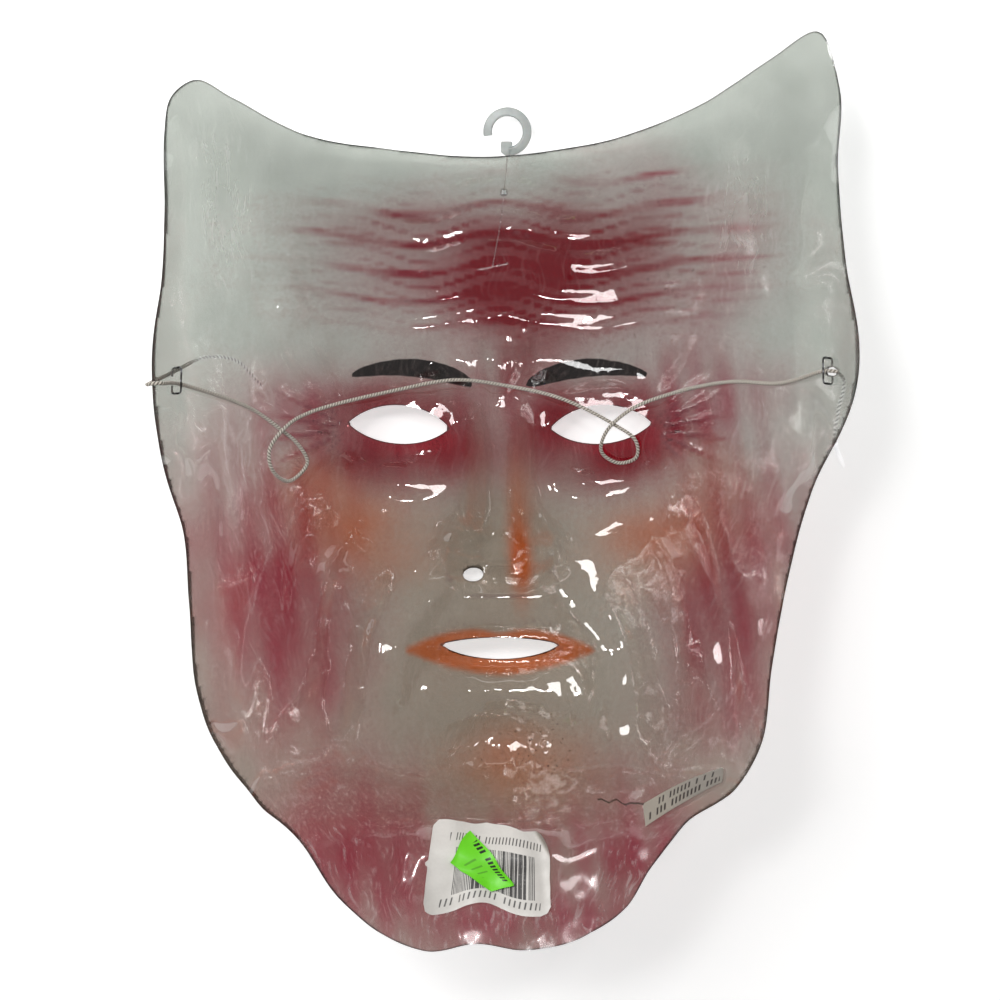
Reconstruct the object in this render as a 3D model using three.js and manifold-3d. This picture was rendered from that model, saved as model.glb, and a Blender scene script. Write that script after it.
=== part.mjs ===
// An old man's face mask of clear sheet plastic, formed over a mould and trimmed, with its
// elastic, two staples, a moulded hanging hook and three stuck labels. Sizes in millimetres.
//
// The mask is drawn as seen when looking into its hollow: x to the right, y towards the
// forehead and y = 0 on the eye line, depth away from the eye, so that z = -depth. The outer
// group then lays the mask face down on its nose and forehead, with the floor at z = 0.

import * as THREE from 'three';
import { mergeVertices } from 'three/addons/utils/BufferGeometryUtils.js';
import Module from 'manifold-3d';

const wasm = await Module();
wasm.setup();

// Driving dimensions of the sheet and of how it lies.
const SHEET = 0.5; // thickness of the plastic
const GAP = 0.4; // clear space between neighbouring pieces
const REST_TILT = 0.28; // radians by which the forehead end is lowered
const REST_DEPTH = 70.6; // from the origin of the drawing down to the floor
const CENTRE_X = 1.1; // middle of the trimmed mask, in the drawing
const CENTRE_Y = -26.8; // the same along the floor, once it is laid down

// Face proportions: hairline, brow, nose base and chin are one unit apart.
const UNIT = 64;
const BROW = UNIT / 4;
const NOSE_BASE = BROW - UNIT;
const MOUTH = NOSE_BASE - UNIT / 3;
const CHIN = NOSE_BASE - UNIT;
const EYE_X = 31;

// The mould without its features: each row is y, depth along the middle, half breadth of the
// ellipse across, and how far that ellipse would drop at its ends.
const STATIONS = [
  [-165, 29, 52, 26],
  [-145, 31, 56, 32],
  [-130, 34, 62, 44],
  [-121, 39, 68, 58],
  [-113, 50, 74, 76],
  [-104, 59, 79, 86],
  [-90, 60.5, 84, 88],
  [-70, 61, 91, 89],
  [-45, 61, 96, 92],
  [-15, 61.5, 102, 95],
  [20, 62, 105.5, 96],
  [42, 59, 105, 92],
  [62, 51, 104, 80],
  [80, 39, 104, 62],
  [100, 25, 106, 42],
  [120, 13, 109, 30],
];

// Rounded mounds on the mould: x, y, half widths, turn in degrees, height. A mound off the
// middle has a twin on the other side.
const MOUNDS = [
  [0, 46, 44, 20, 0, 2],
  [30, 50, 19, 14, 0, 1.5],
  [27, BROW + 2, 15, 5.2, -8, 5.2],
  [47, 11, 8, 10, 0, 3.2],
  [0, BROW + 1, 9, 7, 0, 2.5],
  [EYE_X, 1, 16, 10.5, 0, -9.5],
  [EYE_X, -1, 12.5, 8.5, 0, 7.5],
  [13, 0, 4.5, 8, 0, -3.5],
  [EYE_X + 1, -16, 12, 4.6, 8, 3],
  [50, -24, 17, 13, -20, 7],
  [34, -37, 13, 12, -20, 5.5],
  [56, -62, 12, 20, 8, -5],
  [68, 36, 11, 20, 0, -5],
  [0, MOUTH + 4, 24, 17, 0, 7],
  [0, CHIN + 13, 15, 10.5, 0, 10],
  [0, CHIN + 28, 17, 4.6, 0, -4],
  [43, CHIN + 18, 13, 13, 0, 5.5],
  [14, NOSE_BASE + 8.5, 4.6, 6, 0, 9],
  [30, MOUTH, 5.5, 7, 0, -2],
];

// Creases and ridges along a bent line: x, y, turn in degrees, half length, bend at the ends,
// half width, depth of the crease, where a negative depth is a ridge. Twins as above.
const CREASES = [
  [7, 21, 82, 13, 1, 1.7, 1.8],
  [EYE_X, -22.5, 6, 17, 5, 2.2, 1.7],
  [EYE_X + 1, -28.5, 10, 19, 6, 2.4, 1.1],
  [25, -58, -56, 27, -3, 3.4, 2.9],
  [33, -53, -58, 25, -3, 5.5, -2.2],
  [46, -70, -80, 22, -3, 3.2, 2],
  [60, -66, -86, 22, -3, 3.4, 1.3],
  [35, -89, -74, 13, -2, 3, 1.6],
  [0, MOUTH + 4, 0, 26, -2, 2.4, -3],
  [0, MOUTH - 4.6, 0, 21, 2.5, 3.2, -4],
  [0, MOUTH, 0, 28, 1, 1.5, 2.6],
  [0, -129, 0, 30, 4, 2.4, 1.2],
  [13, -138, 90, 18, 2, 3, -1.4],
];

// Lines across the forehead, and the fan of lines beside each eye.
const FOREHEAD_LINES = {
  low: 27, high: 70, side: 54, pitch: 8.6, height: 2, wave: 2.2, waveLength: 62, waveReach: 60,
};
const EYE_FAN = { x: 45, y: -1, pitch: 0.3, inner: 6, outer: 26, spread: 0.78, height: 0.9 };

// The nose: y, height of its ridge, half width.
const NOSE = [
  [20, 0, 8],
  [8, 1.5, 7.5],
  [-4, 6.5, 8],
  [-18, 13, 9],
  [-32, 19.5, 11],
  [-38, 21.5, 12.5],
  [-43, 18.5, 13],
  [-48, 7, 13],
  [-53, 0, 13],
];

// Smallest value under the root of the ellipse, so that the sheet runs on past its ends.
const ELLIPSE_FLOOR = 0.02;

// Small flat spots that keep the rounded mask from rolling: x, y, half sizes, and the width of
// the blend around them.
const FLAT_SPOTS = [
  [0, 46.5, 19, 3.6, 4],
  [0, -39.5, 4.8, 2.5, 3],
];

// Rows of the shell's grid: y where a band starts, and the number of rows up to the next.
const ROW_BANDS = [
  [-161, 5],
  [-124, 14],
  [-56, 6],
  [-34, 9],
  [24, 13],
  [70, 5],
  [113, 0],
];
const COLUMNS = 28;
const EDGE_ANGLE = 1.3; // of the ellipse at the grid's side edges, in radians
const MIDDLE_SHARE = 0.52; // share of the columns that are evenly spread

// The trimmed edge, anticlockwise from the tip of the left corner.
const TRIM = [
  [-86, 96.5], [-92.5, 91], [-94.3, 80], [-94.5, 59], [-95.5, 40], [-97.6, 21], [-96.8, 2],
  [-94, -16], [-89.6, -32], [-87.5, -52], [-85.2, -74], [-77.5, -95], [-68, -109.5],
  [-57.5, -119.5], [-47, -137], [-35, -149], [-21.5, -155.3], [-6, -153.6], [7, -155.6],
  [22.5, -152], [36.5, -142], [44, -129.5], [53.5, -117.5], [67.5, -106.3], [74.6, -92],
  [78.4, -70], [83, -44.5], [89, -20.5], [98.4, 4.5], [99.8, 22], [97, 44], [95, 71.5],
  [95.3, 93], [89.5, 109], [78, 103.5], [60, 93], [37, 85], [13, 81.2], [-8, 80], [-33, 81.5],
  [-57, 84.2], [-76.5, 92.5],
];

const TRIM_STEPS = 96; // straight steps around the trimmed edge

// Openings in the sheet.
const EYE_HOLE = { halfWidth: 15.5, upper: 6.4, lower: 5.4, turn: 0.05 };
const MOUTH_SLOT = { halfWidth: 18.5, rise: 1.4, halfHeight: 3.5 };
const NOSTRIL = { x: -8.5, y: NOSE_BASE + 1.6, radiusX: 3.2, radiusY: 2 };

// Elastic: thickness, and its route as x, y and height of its middle above the sheet's inner
// face. A height below zero is on the outer side of the sheet.
const CORD = { diameter: 1.2, sides: 8, stepsPerStretch: 2 };
const CORD_ROUTE = [
  [-68.9, 11.6, -4], [-76.4, 18.3, -3], [-84.3, 18.8, -2.6], [-91.4, 14.2, -2.6],
  [-97.3, 9.8, -1.6], [-97.85, 9.6, -0.75], [-98.05, 9.6, 0.8], [-97.85, 9.6, 2.4],
  [-97.3, 9.6, 3.2], [-92.6, 10.2, 1.3],
  [-74.5, 4.2, 1.3], [-67.4, -0.8, 1.6], [-61.6, -5.6, 1.7], [-59.2, -11.8, 1.8],
  [-64.4, -17.1, 1.3], [-69, -13.4, 1.4], [-69.8, -7.4, 1.8],
  [-66.2, -1, 3.2], [-59, 3.2, 2], [-31, 10.4, 1.7], [-14, 12.8, 2.4],
  [3, 11.8, 2.6], [19, 7.6, 2.1], [35.4, 0.6, 1.4],
  [42, -4.2, 1.3], [42.4, -9, 1.3], [36.8, -10.6, 1.4], [31.6, -7.4, 1.8],
  [33.2, -1.2, 3.4], [40.4, 4.6, 2.8], [54, 9.2, 2], [69, 12.2, 1.5], [83, 11.2, 1.4],
  [92.9, 13.8, 1.3], [94.2, 13.8, 0.5], [94.8, 13.4, -1.4], [94.8, 11.4, -3.5],
  [93.5, 2, -3.1], [92.3, -6.5, -3.8], [91, -12.6, -8.8],
];
const CORD_HOLE = { x: 94.35, y: 13.7, radius: 1.3 };

// Staples: place, crown length, wire, rise of the crown over the sheet, and the clinched ends.
const STAPLE = { crown: 7.4, wire: 0.6, rise: 2.3, clinchDrop: 0.75, clinchEnd: 1.3 };
const STAPLE_PLACES = { staple_left: [-92.6, 11.2], staple_right: [93.6, 13.9] };

// Hanging hook: an open flat ring whose lower end is a small block on a stem, which runs through
// the sheet to a cross bar. The ring is level once the mask is laid down, and the block is given
// from the ring's middle.
const HOOK = {
  x: 2.2, ringY: 86.5, outer: 7.2, inner: 4.6, thick: 1.6, mouth: 3.34, footY: 79,
  block: { left: -1.9, right: 0.9, top: -2.9, low: -5.9, tip: 0.35 },
  stem: 0.5, holeX: 1.2, holeY: 70.5, holeRadius: 0.9,
  barX: -2.3, barY: 49.5, barLength: 9.8, barTurn: 0.2, barThick: 0.75,
};

// Labels: corners as x, y in the order lower left, lower right, upper right, upper left, with
// the paper's thickness, the height over the sheet, and how far its waves lift it.
const PAPER_LABEL = {
  corners: [[-23.5, -145], [15.5, -146], [15, -123.5], [-20.5, -119.6]],
  thick: 0.25, lift: 0.5, wave: 0.9, waves: 2.2, columns: 9, rows: 5,
};
const PRICE_STICKER = {
  corners: [[-15.8, -129.8], [-2.6, -138.6], [4.6, -136.8], [-7.8, -121.8]],
  thick: 0.25, lift: 1.4, wave: 0.9, waves: 2.2, columns: 4, rows: 4,
};
const ORIGIN_LABEL = {
  corners: [[43, -119.2], [65, -105], [65.6, -100.6], [42.7, -113.8]],
  thick: 0.25, lift: 0.5, wave: 0, waves: 1, columns: 6, rows: 1,
};

// Value of one column of a table at y: a smooth cubic through its rows.
function along(table, column, y) {
  const sign = Math.sign(table[table.length - 1][0] - table[0][0]);
  let i = 1;
  while (i < table.length - 1 && sign * (table[i][0] - y) < 0) i += 1;
  const slopeAt = (k) => {
    const before = table[Math.max(k - 1, 0)];
    const after = table[Math.min(k + 1, table.length - 1)];
    return (after[column] - before[column]) / (after[0] - before[0]);
  };
  const [start, end] = [table[i - 1], table[i]];
  const step = end[0] - start[0];
  const t = THREE.MathUtils.clamp((y - start[0]) / step, 0, 1);
  return (
    start[column] * (1 + 2 * t) * (1 - t) ** 2 +
    slopeAt(i - 1) * step * t * (1 - t) ** 2 +
    end[column] * t * t * (3 - 2 * t) +
    slopeAt(i) * step * t * t * (t - 1)
  );
}

// Sum of a feature and its twin on the other side of the face.
function paired(x, centreX, feature) {
  return centreX === 0 ? feature(x) : feature(x - centreX) + feature(-x - centreX);
}

function mound(x, y, [cx, cy, halfX, halfY, turn, height]) {
  const angle = THREE.MathUtils.degToRad(turn);
  return paired(x, cx, (dx) => {
    const u = (dx * Math.cos(angle) + (y - cy) * Math.sin(angle)) / halfX;
    const v = ((y - cy) * Math.cos(angle) - dx * Math.sin(angle)) / halfY;
    return height * Math.exp(-(u * u + v * v) / 2);
  });
}

function crease(x, y, [cx, cy, turn, half, bend, width, depth]) {
  const angle = THREE.MathUtils.degToRad(turn);
  return paired(x, cx, (dx) => {
    const u = (dx * Math.cos(angle) + (y - cy) * Math.sin(angle)) / half;
    const v = (y - cy) * Math.cos(angle) - dx * Math.sin(angle) - bend * u * u;
    return -depth * Math.exp(-((v / width) ** 2) / 2 - u ** 4);
  });
}

// Soft bulges with sharper valleys between them, across the forehead.
function foreheadLines(x, y) {
  const { low, high, side, pitch, height, wave, waveLength, waveReach } = FOREHEAD_LINES;
  const middle = (low + high) / 2;
  const sway = Math.cos((2 * Math.PI * x) / waveLength) * Math.exp(-((x / waveReach) ** 2));
  const bent = y - low - wave * sway;
  const bulge = Math.sqrt(Math.cos((Math.PI * bent) / pitch) ** 2 + 0.05) - 0.65;
  const fade = Math.exp(-((x / side) ** 4) - (((y - middle) / (high - middle)) ** 4));
  return height * bulge * fade;
}

// Lines that spread from the outer corner of each eye.
function eyeFan(x, y) {
  const { pitch, inner, outer, spread, height } = EYE_FAN;
  const dx = Math.abs(x) - EYE_FAN.x;
  const dy = y - EYE_FAN.y;
  const reach = Math.hypot(dx, dy);
  const angle = Math.atan2(dy, dx);
  const fadeOut = Math.exp(-((angle / spread) ** 4) - (reach / outer) ** 4);
  const fadeIn = 1 - Math.exp(-((reach / inner) ** 2));
  return height * Math.cos((2 * Math.PI * angle) / pitch) * fadeOut * fadeIn;
}

function nose(x, y) {
  if (y > NOSE[0][0] || y < NOSE[NOSE.length - 1][0]) return 0;
  return Math.max(along(NOSE, 1, y), 0) * Math.exp(-(Math.abs(x / along(NOSE, 2, y)) ** 3));
}

// Depth at which the floor cuts the drawing, once the mask is laid down.
function floorDepth(y) {
  return REST_DEPTH / Math.cos(REST_TILT) - y * Math.tan(REST_TILT);
}

// Depth of the sheet's outer face, the one that shows the face.
function outerDepth(x, y) {
  const halfBreadth = along(STATIONS, 2, y);
  const ellipse = Math.sqrt(Math.max(1 - (x / halfBreadth) ** 2, ELLIPSE_FLOOR));
  let depth = along(STATIONS, 1, y) - along(STATIONS, 3, y) * (1 - ellipse);
  for (const row of MOUNDS) depth += mound(x, y, row);
  for (const row of CREASES) depth += crease(x, y, row);
  depth += foreheadLines(x, y) + eyeFan(x, y) + nose(x, y);
  for (const [cx, cy, halfX, halfY, blend] of FLAT_SPOTS) {
    const outside = Math.hypot(
      Math.max(Math.abs(x - cx) - halfX, 0),
      Math.max(Math.abs(y - cy) - halfY, 0),
    );
    const share = 1 - THREE.MathUtils.smoothstep(outside, 0, blend);
    depth += share * (floorDepth(y) - depth);
  }
  return Math.min(depth, floorDepth(y));
}

// How fast the depth grows along x and along y.
function slope(x, y) {
  const reach = 0.4;
  return [
    (outerDepth(x + reach, y) - outerDepth(x - reach, y)) / (2 * reach),
    (outerDepth(x, y + reach) - outerDepth(x, y - reach)) / (2 * reach),
  ];
}

// A point of the inner face, and a frame on it: normal into the hollow, across, and up.
function frameAt(x, y) {
  const [alongX, alongY] = slope(x, y);
  const inner = outerDepth(x, y) - SHEET * Math.hypot(1, alongX, alongY);
  const normal = new THREE.Vector3(alongX, alongY, 1).normalize();
  const up = new THREE.Vector3(0, 1, -alongY).normalize();
  const across = new THREE.Vector3().crossVectors(up, normal);
  return { point: new THREE.Vector3(x, y, -inner), normal, up, across };
}

function aboveSheet(x, y, height) {
  const { point, normal } = frameAt(x, y);
  return point.clone().addScaledVector(normal, height);
}

// A closed sheet over a grid: pointAt gives the vertex for a column, a row and a side, where
// side 0 faces up and side 1 faces down.
function sheetGeometry(columns, rows, pointAt) {
  const positions = [];
  const indices = [];
  for (const side of [0, 1]) {
    for (let j = 0; j <= rows; j += 1) {
      for (let i = 0; i <= columns; i += 1) positions.push(...pointAt(i, j, side));
    }
  }
  const at = (i, j, side) => (side * (rows + 1) + j) * (columns + 1) + i;
  const quad = (a, b, c, d) => indices.push(a, b, c, a, c, d);
  for (let j = 0; j < rows; j += 1) {
    for (let i = 0; i < columns; i += 1) {
      quad(at(i, j, 0), at(i + 1, j, 0), at(i + 1, j + 1, 0), at(i, j + 1, 0));
      quad(at(i, j, 1), at(i, j + 1, 1), at(i + 1, j + 1, 1), at(i + 1, j, 1));
    }
    quad(at(0, j, 0), at(0, j + 1, 0), at(0, j + 1, 1), at(0, j, 1));
    quad(at(columns, j, 1), at(columns, j + 1, 1), at(columns, j + 1, 0), at(columns, j, 0));
  }
  for (let i = 0; i < columns; i += 1) {
    quad(at(i, 0, 1), at(i + 1, 0, 1), at(i + 1, 0, 0), at(i, 0, 0));
    quad(at(i, rows, 0), at(i + 1, rows, 0), at(i + 1, rows, 1), at(i, rows, 1));
  }
  const geometry = new THREE.BufferGeometry();
  geometry.setAttribute('position', new THREE.Float32BufferAttribute(positions, 3));
  geometry.setIndex(indices);
  return geometry;
}

// A smooth line through points, stepped evenly between them, so that tight bends get short steps.
class RouteCurve extends THREE.CatmullRomCurve3 {
  getPointAt(t, target) {
    return this.getPoint(t, target);
  }

  getTangentAt(t, target) {
    return this.getTangent(t, target);
  }
}

// A tube with a many-sided section along a smooth line through the points.
function tubeGeometry(points, diameter, sides, stepsPerStretch) {
  const section = new THREE.Shape();
  for (let k = 0; k < sides; k += 1) {
    const angle = (2 * Math.PI * (k + 0.5)) / sides;
    const corner = [Math.cos(angle), Math.sin(angle)].map((part) => (part * diameter) / 2);
    if (k === 0) section.moveTo(...corner);
    else section.lineTo(...corner);
  }
  const extrudePath = new RouteCurve(points);
  const steps = stepsPerStretch * (points.length - 1);
  return new THREE.ExtrudeGeometry(section, { steps, extrudePath, bevelEnabled: false });
}

function solidOf(geometry) {
  const bare = geometry.clone();
  bare.deleteAttribute('normal');
  bare.deleteAttribute('uv');
  const merged = mergeVertices(bare, 1e-4);
  return new wasm.Manifold(
    new wasm.Mesh({
      numProp: 3,
      vertProperties: merged.attributes.position.array,
      triVerts: new Uint32Array(merged.index.array),
    }),
  );
}

function geometryOf(solid) {
  const mesh = solid.getMesh();
  const geometry = new THREE.BufferGeometry();
  geometry.setAttribute('position', new THREE.BufferAttribute(mesh.vertProperties, 3));
  geometry.setIndex(new THREE.BufferAttribute(mesh.triVerts, 1));
  return geometry;
}

// A plan shape carried straight through the whole depth of the mask.
function throughCutter(shape, curveSegments) {
  const depth = 2 * REST_DEPTH;
  const geometry = new THREE.ExtrudeGeometry(shape, {
    depth, bevelEnabled: false, curveSegments,
  });
  return geometry.translate(0, 0, -depth + REST_DEPTH / 2);
}

// A round cutter through the sheet, square to it.
function pinHoleCutter(point, normal, radius) {
  const geometry = new THREE.CylinderGeometry(radius, radius, 6 * SHEET, 8);
  const turn = new THREE.Quaternion().setFromUnitVectors(new THREE.Vector3(0, 1, 0), normal);
  const middle = point.clone().addScaledVector(normal, -SHEET / 2);
  return geometry.applyQuaternion(turn).translate(middle.x, middle.y, middle.z);
}

function trimShape() {
  const points = TRIM.map(([x, y]) => new THREE.Vector3(x, y, 0));
  const edge = new THREE.CatmullRomCurve3(points, true).getSpacedPoints(TRIM_STEPS);
  return new THREE.Shape(edge.slice(0, -1).map(({ x, y }) => new THREE.Vector2(x, y)));
}

// Almond outline, its outer corner a little higher than the inner one.
function eyeCutter(side) {
  const { halfWidth, upper, lower, turn } = EYE_HOLE;
  const shape = new THREE.Shape();
  shape.moveTo(halfWidth, 0);
  shape.bezierCurveTo(halfWidth / 2, upper * 1.33, -halfWidth / 2, upper * 1.33, -halfWidth, 0);
  shape.bezierCurveTo(-halfWidth / 2, -lower * 1.33, halfWidth / 2, -lower * 1.33, halfWidth, 0);
  return throughCutter(shape, 9).rotateZ(side * turn).translate(side * EYE_X, 0, 0);
}

// A slot with pointed ends that rise slightly.
function mouthCutter() {
  const { halfWidth, rise, halfHeight } = MOUTH_SLOT;
  const shape = new THREE.Shape();
  shape.moveTo(halfWidth, rise);
  shape.bezierCurveTo(
    halfWidth / 2, halfHeight * 1.2 - rise / 3, -halfWidth / 2, halfHeight * 1.2 - rise / 3,
    -halfWidth, rise,
  );
  shape.bezierCurveTo(
    -halfWidth / 2, -halfHeight * 1.5, halfWidth / 2, -halfHeight * 1.5, halfWidth, rise,
  );
  return throughCutter(shape, 9).translate(0, MOUTH, 0);
}

function nostrilCutter() {
  const { x, y, radiusX, radiusY } = NOSTRIL;
  const shape = new THREE.Shape();
  shape.absellipse(x, y, radiusX, radiusY, 0, 2 * Math.PI);
  return throughCutter(shape, 5);
}

function pinHoleCutters() {
  const cutters = [];
  for (const [x, y] of Object.values(STAPLE_PLACES)) {
    const { point, normal, up } = frameAt(x, y);
    for (const side of [-1, 1]) {
      const leg = point.clone().addScaledVector(up, (side * STAPLE.crown) / 2);
      cutters.push(pinHoleCutter(leg, normal, STAPLE.wire / 2 + GAP));
    }
  }
  const small = [
    [CORD_HOLE.x, CORD_HOLE.y, CORD_HOLE.radius],
    [HOOK.holeX, HOOK.holeY, HOOK.holeRadius],
  ];
  for (const [x, y, radius] of small) {
    const { point, normal } = frameAt(x, y);
    cutters.push(pinHoleCutter(point, normal, radius));
  }
  return cutters;
}

// The formed sheet: a grid that follows the mould, trimmed and pierced.
function maskShell() {
  const heights = [];
  ROW_BANDS.slice(0, -1).forEach(([start, count], band) => {
    const step = (ROW_BANDS[band + 1][0] - start) / count;
    for (let k = 0; k < count; k += 1) heights.push(start + k * step);
  });
  heights.push(ROW_BANDS[ROW_BANDS.length - 1][0]);
  const blank = sheetGeometry(COLUMNS, heights.length - 1, (i, j, side) => {
    const y = heights[j];
    const share = (2 * i) / COLUMNS - 1;
    const angle = EDGE_ANGLE * (MIDDLE_SHARE * share + (1 - MIDDLE_SHARE) * share ** 3);
    const x = along(STATIONS, 2, y) * Math.sin(angle);
    return [x, y, side === 1 ? -outerDepth(x, y) : frameAt(x, y).point.z];
  });
  let shell = solidOf(blank).intersect(solidOf(throughCutter(trimShape(), 1)));
  const cutters = [eyeCutter(-1), eyeCutter(1), mouthCutter(), nostrilCutter()];
  for (const cutter of [...cutters, ...pinHoleCutters()]) shell = shell.subtract(solidOf(cutter));
  return geometryOf(shell);
}

function elasticCord() {
  const route = CORD_ROUTE.map((place) => aboveSheet(...place));
  return tubeGeometry(route, CORD.diameter, CORD.sides, CORD.stepsPerStretch);
}

// A wire with its crown in the hollow and its ends folded in on the outer side.
function staple(x, y) {
  const { point, normal, up } = frameAt(x, y);
  const half = STAPLE.crown / 2;
  const corner = half * 0.9;
  const below = -SHEET - STAPLE.clinchDrop;
  const profile = [
    [-STAPLE.clinchEnd, below - 0.1], [-corner, below], [-half, below + 0.6], [-half, 0],
    [-half, STAPLE.rise - 0.5], [-corner, STAPLE.rise], [0, STAPLE.rise + 0.1],
    [corner, STAPLE.rise], [half, STAPLE.rise - 0.5], [half, 0],
    [half, below + 0.6], [corner, below], [STAPLE.clinchEnd, below - 0.1],
  ];
  const points = profile.map(([t, n]) =>
    point.clone().addScaledVector(up, t).addScaledVector(normal, n),
  );
  return tubeGeometry(points, STAPLE.wire, 5, 1);
}

// The open ring with the block at its lower end as a flat moulding, drawn around its middle.
function hookRing() {
  const { outer, inner, mouth, thick, footY, ringY, block } = HOOK;
  const downward = -Math.PI / 2;
  const shape = new THREE.Shape();
  shape.moveTo(block.left, block.top);
  shape.lineTo(block.left, block.low);
  shape.lineTo(-block.tip, footY - ringY);
  shape.lineTo(block.tip, footY - ringY);
  shape.absarc(0, 0, outer, downward + 0.2, mouth, false);
  shape.absarc(0, 0, inner, mouth, downward + 0.4, true);
  shape.lineTo(block.right, block.top);
  return new THREE.ExtrudeGeometry(shape, {
    depth: thick, bevelEnabled: false, curveSegments: 14,
  }).translate(0, ringY - footY, -thick / 2);
}

// Ring, stem and cross bar, moulded as one.
function hangHook() {
  const foot = aboveSheet(HOOK.x, HOOK.footY, -SHEET - GAP - HOOK.thick / 2 - 0.6);
  const ring = hookRing().rotateX(REST_TILT).translate(foot.x, foot.y, foot.z);
  const hole = [HOOK.holeX, HOOK.holeY];
  const bar = [HOOK.barX, HOOK.barY];
  const stem = tubeGeometry(
    [
      foot.clone().add(new THREE.Vector3(0, 0.8, 0.2)),
      aboveSheet(HOOK.x - 0.3, HOOK.footY - 3, -SHEET - 1.3),
      aboveSheet(hole[0] + 0.2, hole[1] + 1.6, -SHEET - 0.8),
      aboveSheet(hole[0], hole[1], -SHEET / 2),
      aboveSheet(hole[0] - 0.2, hole[1] - 1.6, 0.9),
      aboveSheet(hole[0] - 1, hole[1] - 7, 2.4),
      aboveSheet(bar[0], bar[1], 1.3),
    ],
    HOOK.stem, 6, 2,
  );
  const half = HOOK.barLength / 2;
  const ends = [-half, half].map((offset) =>
    aboveSheet(
      HOOK.barX + offset * Math.cos(HOOK.barTurn),
      HOOK.barY + offset * Math.sin(HOOK.barTurn),
      1.2,
    ),
  );
  const bars = tubeGeometry(ends, HOOK.barThick, 8, 1);
  return geometryOf(solidOf(ring).add(solidOf(stem)).add(solidOf(bars)));
}

// A thin stuck sheet between four corners that follows the inner face with shallow waves.
function labelSheet({ corners, thick, lift, wave, waves, columns, rows }) {
  const [lowerLeft, lowerRight, upperRight, upperLeft] = corners.map(
    (corner) => new THREE.Vector2(...corner),
  );
  return sheetGeometry(columns, rows, (i, j, side) => {
    const u = i / columns;
    const v = j / rows;
    const low = lowerLeft.clone().lerp(lowerRight, u);
    const place = low.lerp(upperLeft.clone().lerp(upperRight, u), v);
    const ripple = wave * (1 - Math.cos(2 * Math.PI * waves * (place.x + place.y / 4) / 39));
    return aboveSheet(place.x, place.y, lift + ripple + (side === 0 ? thick : 0)).toArray();
  });
}

function material(color, roughness, metalness = 0) {
  return new THREE.MeshStandardMaterial({ color, roughness, metalness });
}

const clearPlastic = material(0xaaa9a4, 0.12);
clearPlastic.transparent = true;
clearPlastic.opacity = 0.55;
const steelWire = material(0x77777a, 0.35, 0.9);
const pieces = {
  mask_shell: [maskShell(), clearPlastic],
  elastic_cord: [elasticCord(), material(0xe9e5dc, 0.8)],
  staple_left: [staple(...STAPLE_PLACES.staple_left), steelWire],
  staple_right: [staple(...STAPLE_PLACES.staple_right), steelWire],
  hang_hook: [hangHook(), material(0xdfe2e0, 0.35)],
  paper_label: [labelSheet(PAPER_LABEL), material(0xf1f0ec, 0.7)],
  price_sticker: [labelSheet(PRICE_STICKER), material(0x6fe02c, 0.55)],
  origin_label: [labelSheet(ORIGIN_LABEL), material(0xd9d8d0, 0.45)],
};

const drawing = new THREE.Group();
for (const [name, [geometry, finish]] of Object.entries(pieces)) {
  const mesh = new THREE.Mesh(geometry, finish);
  mesh.name = name;
  drawing.add(mesh);
}
drawing.rotation.x = -REST_TILT;
drawing.position.set(-CENTRE_X, -CENTRE_Y, REST_DEPTH);

const group = new THREE.Group();
group.add(drawing);

export default group;
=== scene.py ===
"""A face mask of clear sheet plastic that lies face down, with its paint, elastic, staples,
hanging hook and labels.

The mask is drawn in millimetres as seen when looking into its hollow: x to the right, y towards
the forehead with y = 0 on the eye line, and depth away from the eye. laid() turns a point of the
drawing into the frame's own metres.
"""

from functools import partial

import bpy
import numpy as np
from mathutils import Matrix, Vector


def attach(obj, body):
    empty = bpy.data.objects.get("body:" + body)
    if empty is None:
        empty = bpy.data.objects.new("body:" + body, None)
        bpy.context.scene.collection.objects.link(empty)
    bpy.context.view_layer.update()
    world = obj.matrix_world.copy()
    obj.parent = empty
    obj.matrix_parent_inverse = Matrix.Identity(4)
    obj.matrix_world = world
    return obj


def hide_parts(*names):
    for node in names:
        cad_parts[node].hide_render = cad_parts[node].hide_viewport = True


bl_info = {
    "name": "Clear face mask",
    "version": (1, 0, 0),
    "blender": (4, 5, 0),
    "location": "View3D > Sidebar > Mask",
    "description": "Makes a painted mask of clear sheet plastic with its elastic and labels",
    "category": "Add Mesh",
}

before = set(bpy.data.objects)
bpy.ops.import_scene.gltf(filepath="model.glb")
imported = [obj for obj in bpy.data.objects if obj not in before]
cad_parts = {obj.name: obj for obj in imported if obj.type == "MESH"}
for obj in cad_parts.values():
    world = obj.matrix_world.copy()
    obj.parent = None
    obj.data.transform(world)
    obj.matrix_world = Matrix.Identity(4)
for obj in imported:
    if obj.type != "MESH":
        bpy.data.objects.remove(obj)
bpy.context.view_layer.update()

# How the drawing lies in the frame, in millimetres and radians.
MM = 0.001
REST_TILT = 0.28
REST_DEPTH = 70.6
CENTRE_X = 1.1
CENTRE_Y = -26.8

# Face proportions: hairline, brow, nose base and chin are one unit apart.
UNIT = 64.0
BROW = UNIT / 4
NOSE_BASE = BROW - UNIT
MOUTH = NOSE_BASE - UNIT / 3
CHIN = NOSE_BASE - UNIT
EYE_X = 31.0

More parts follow.
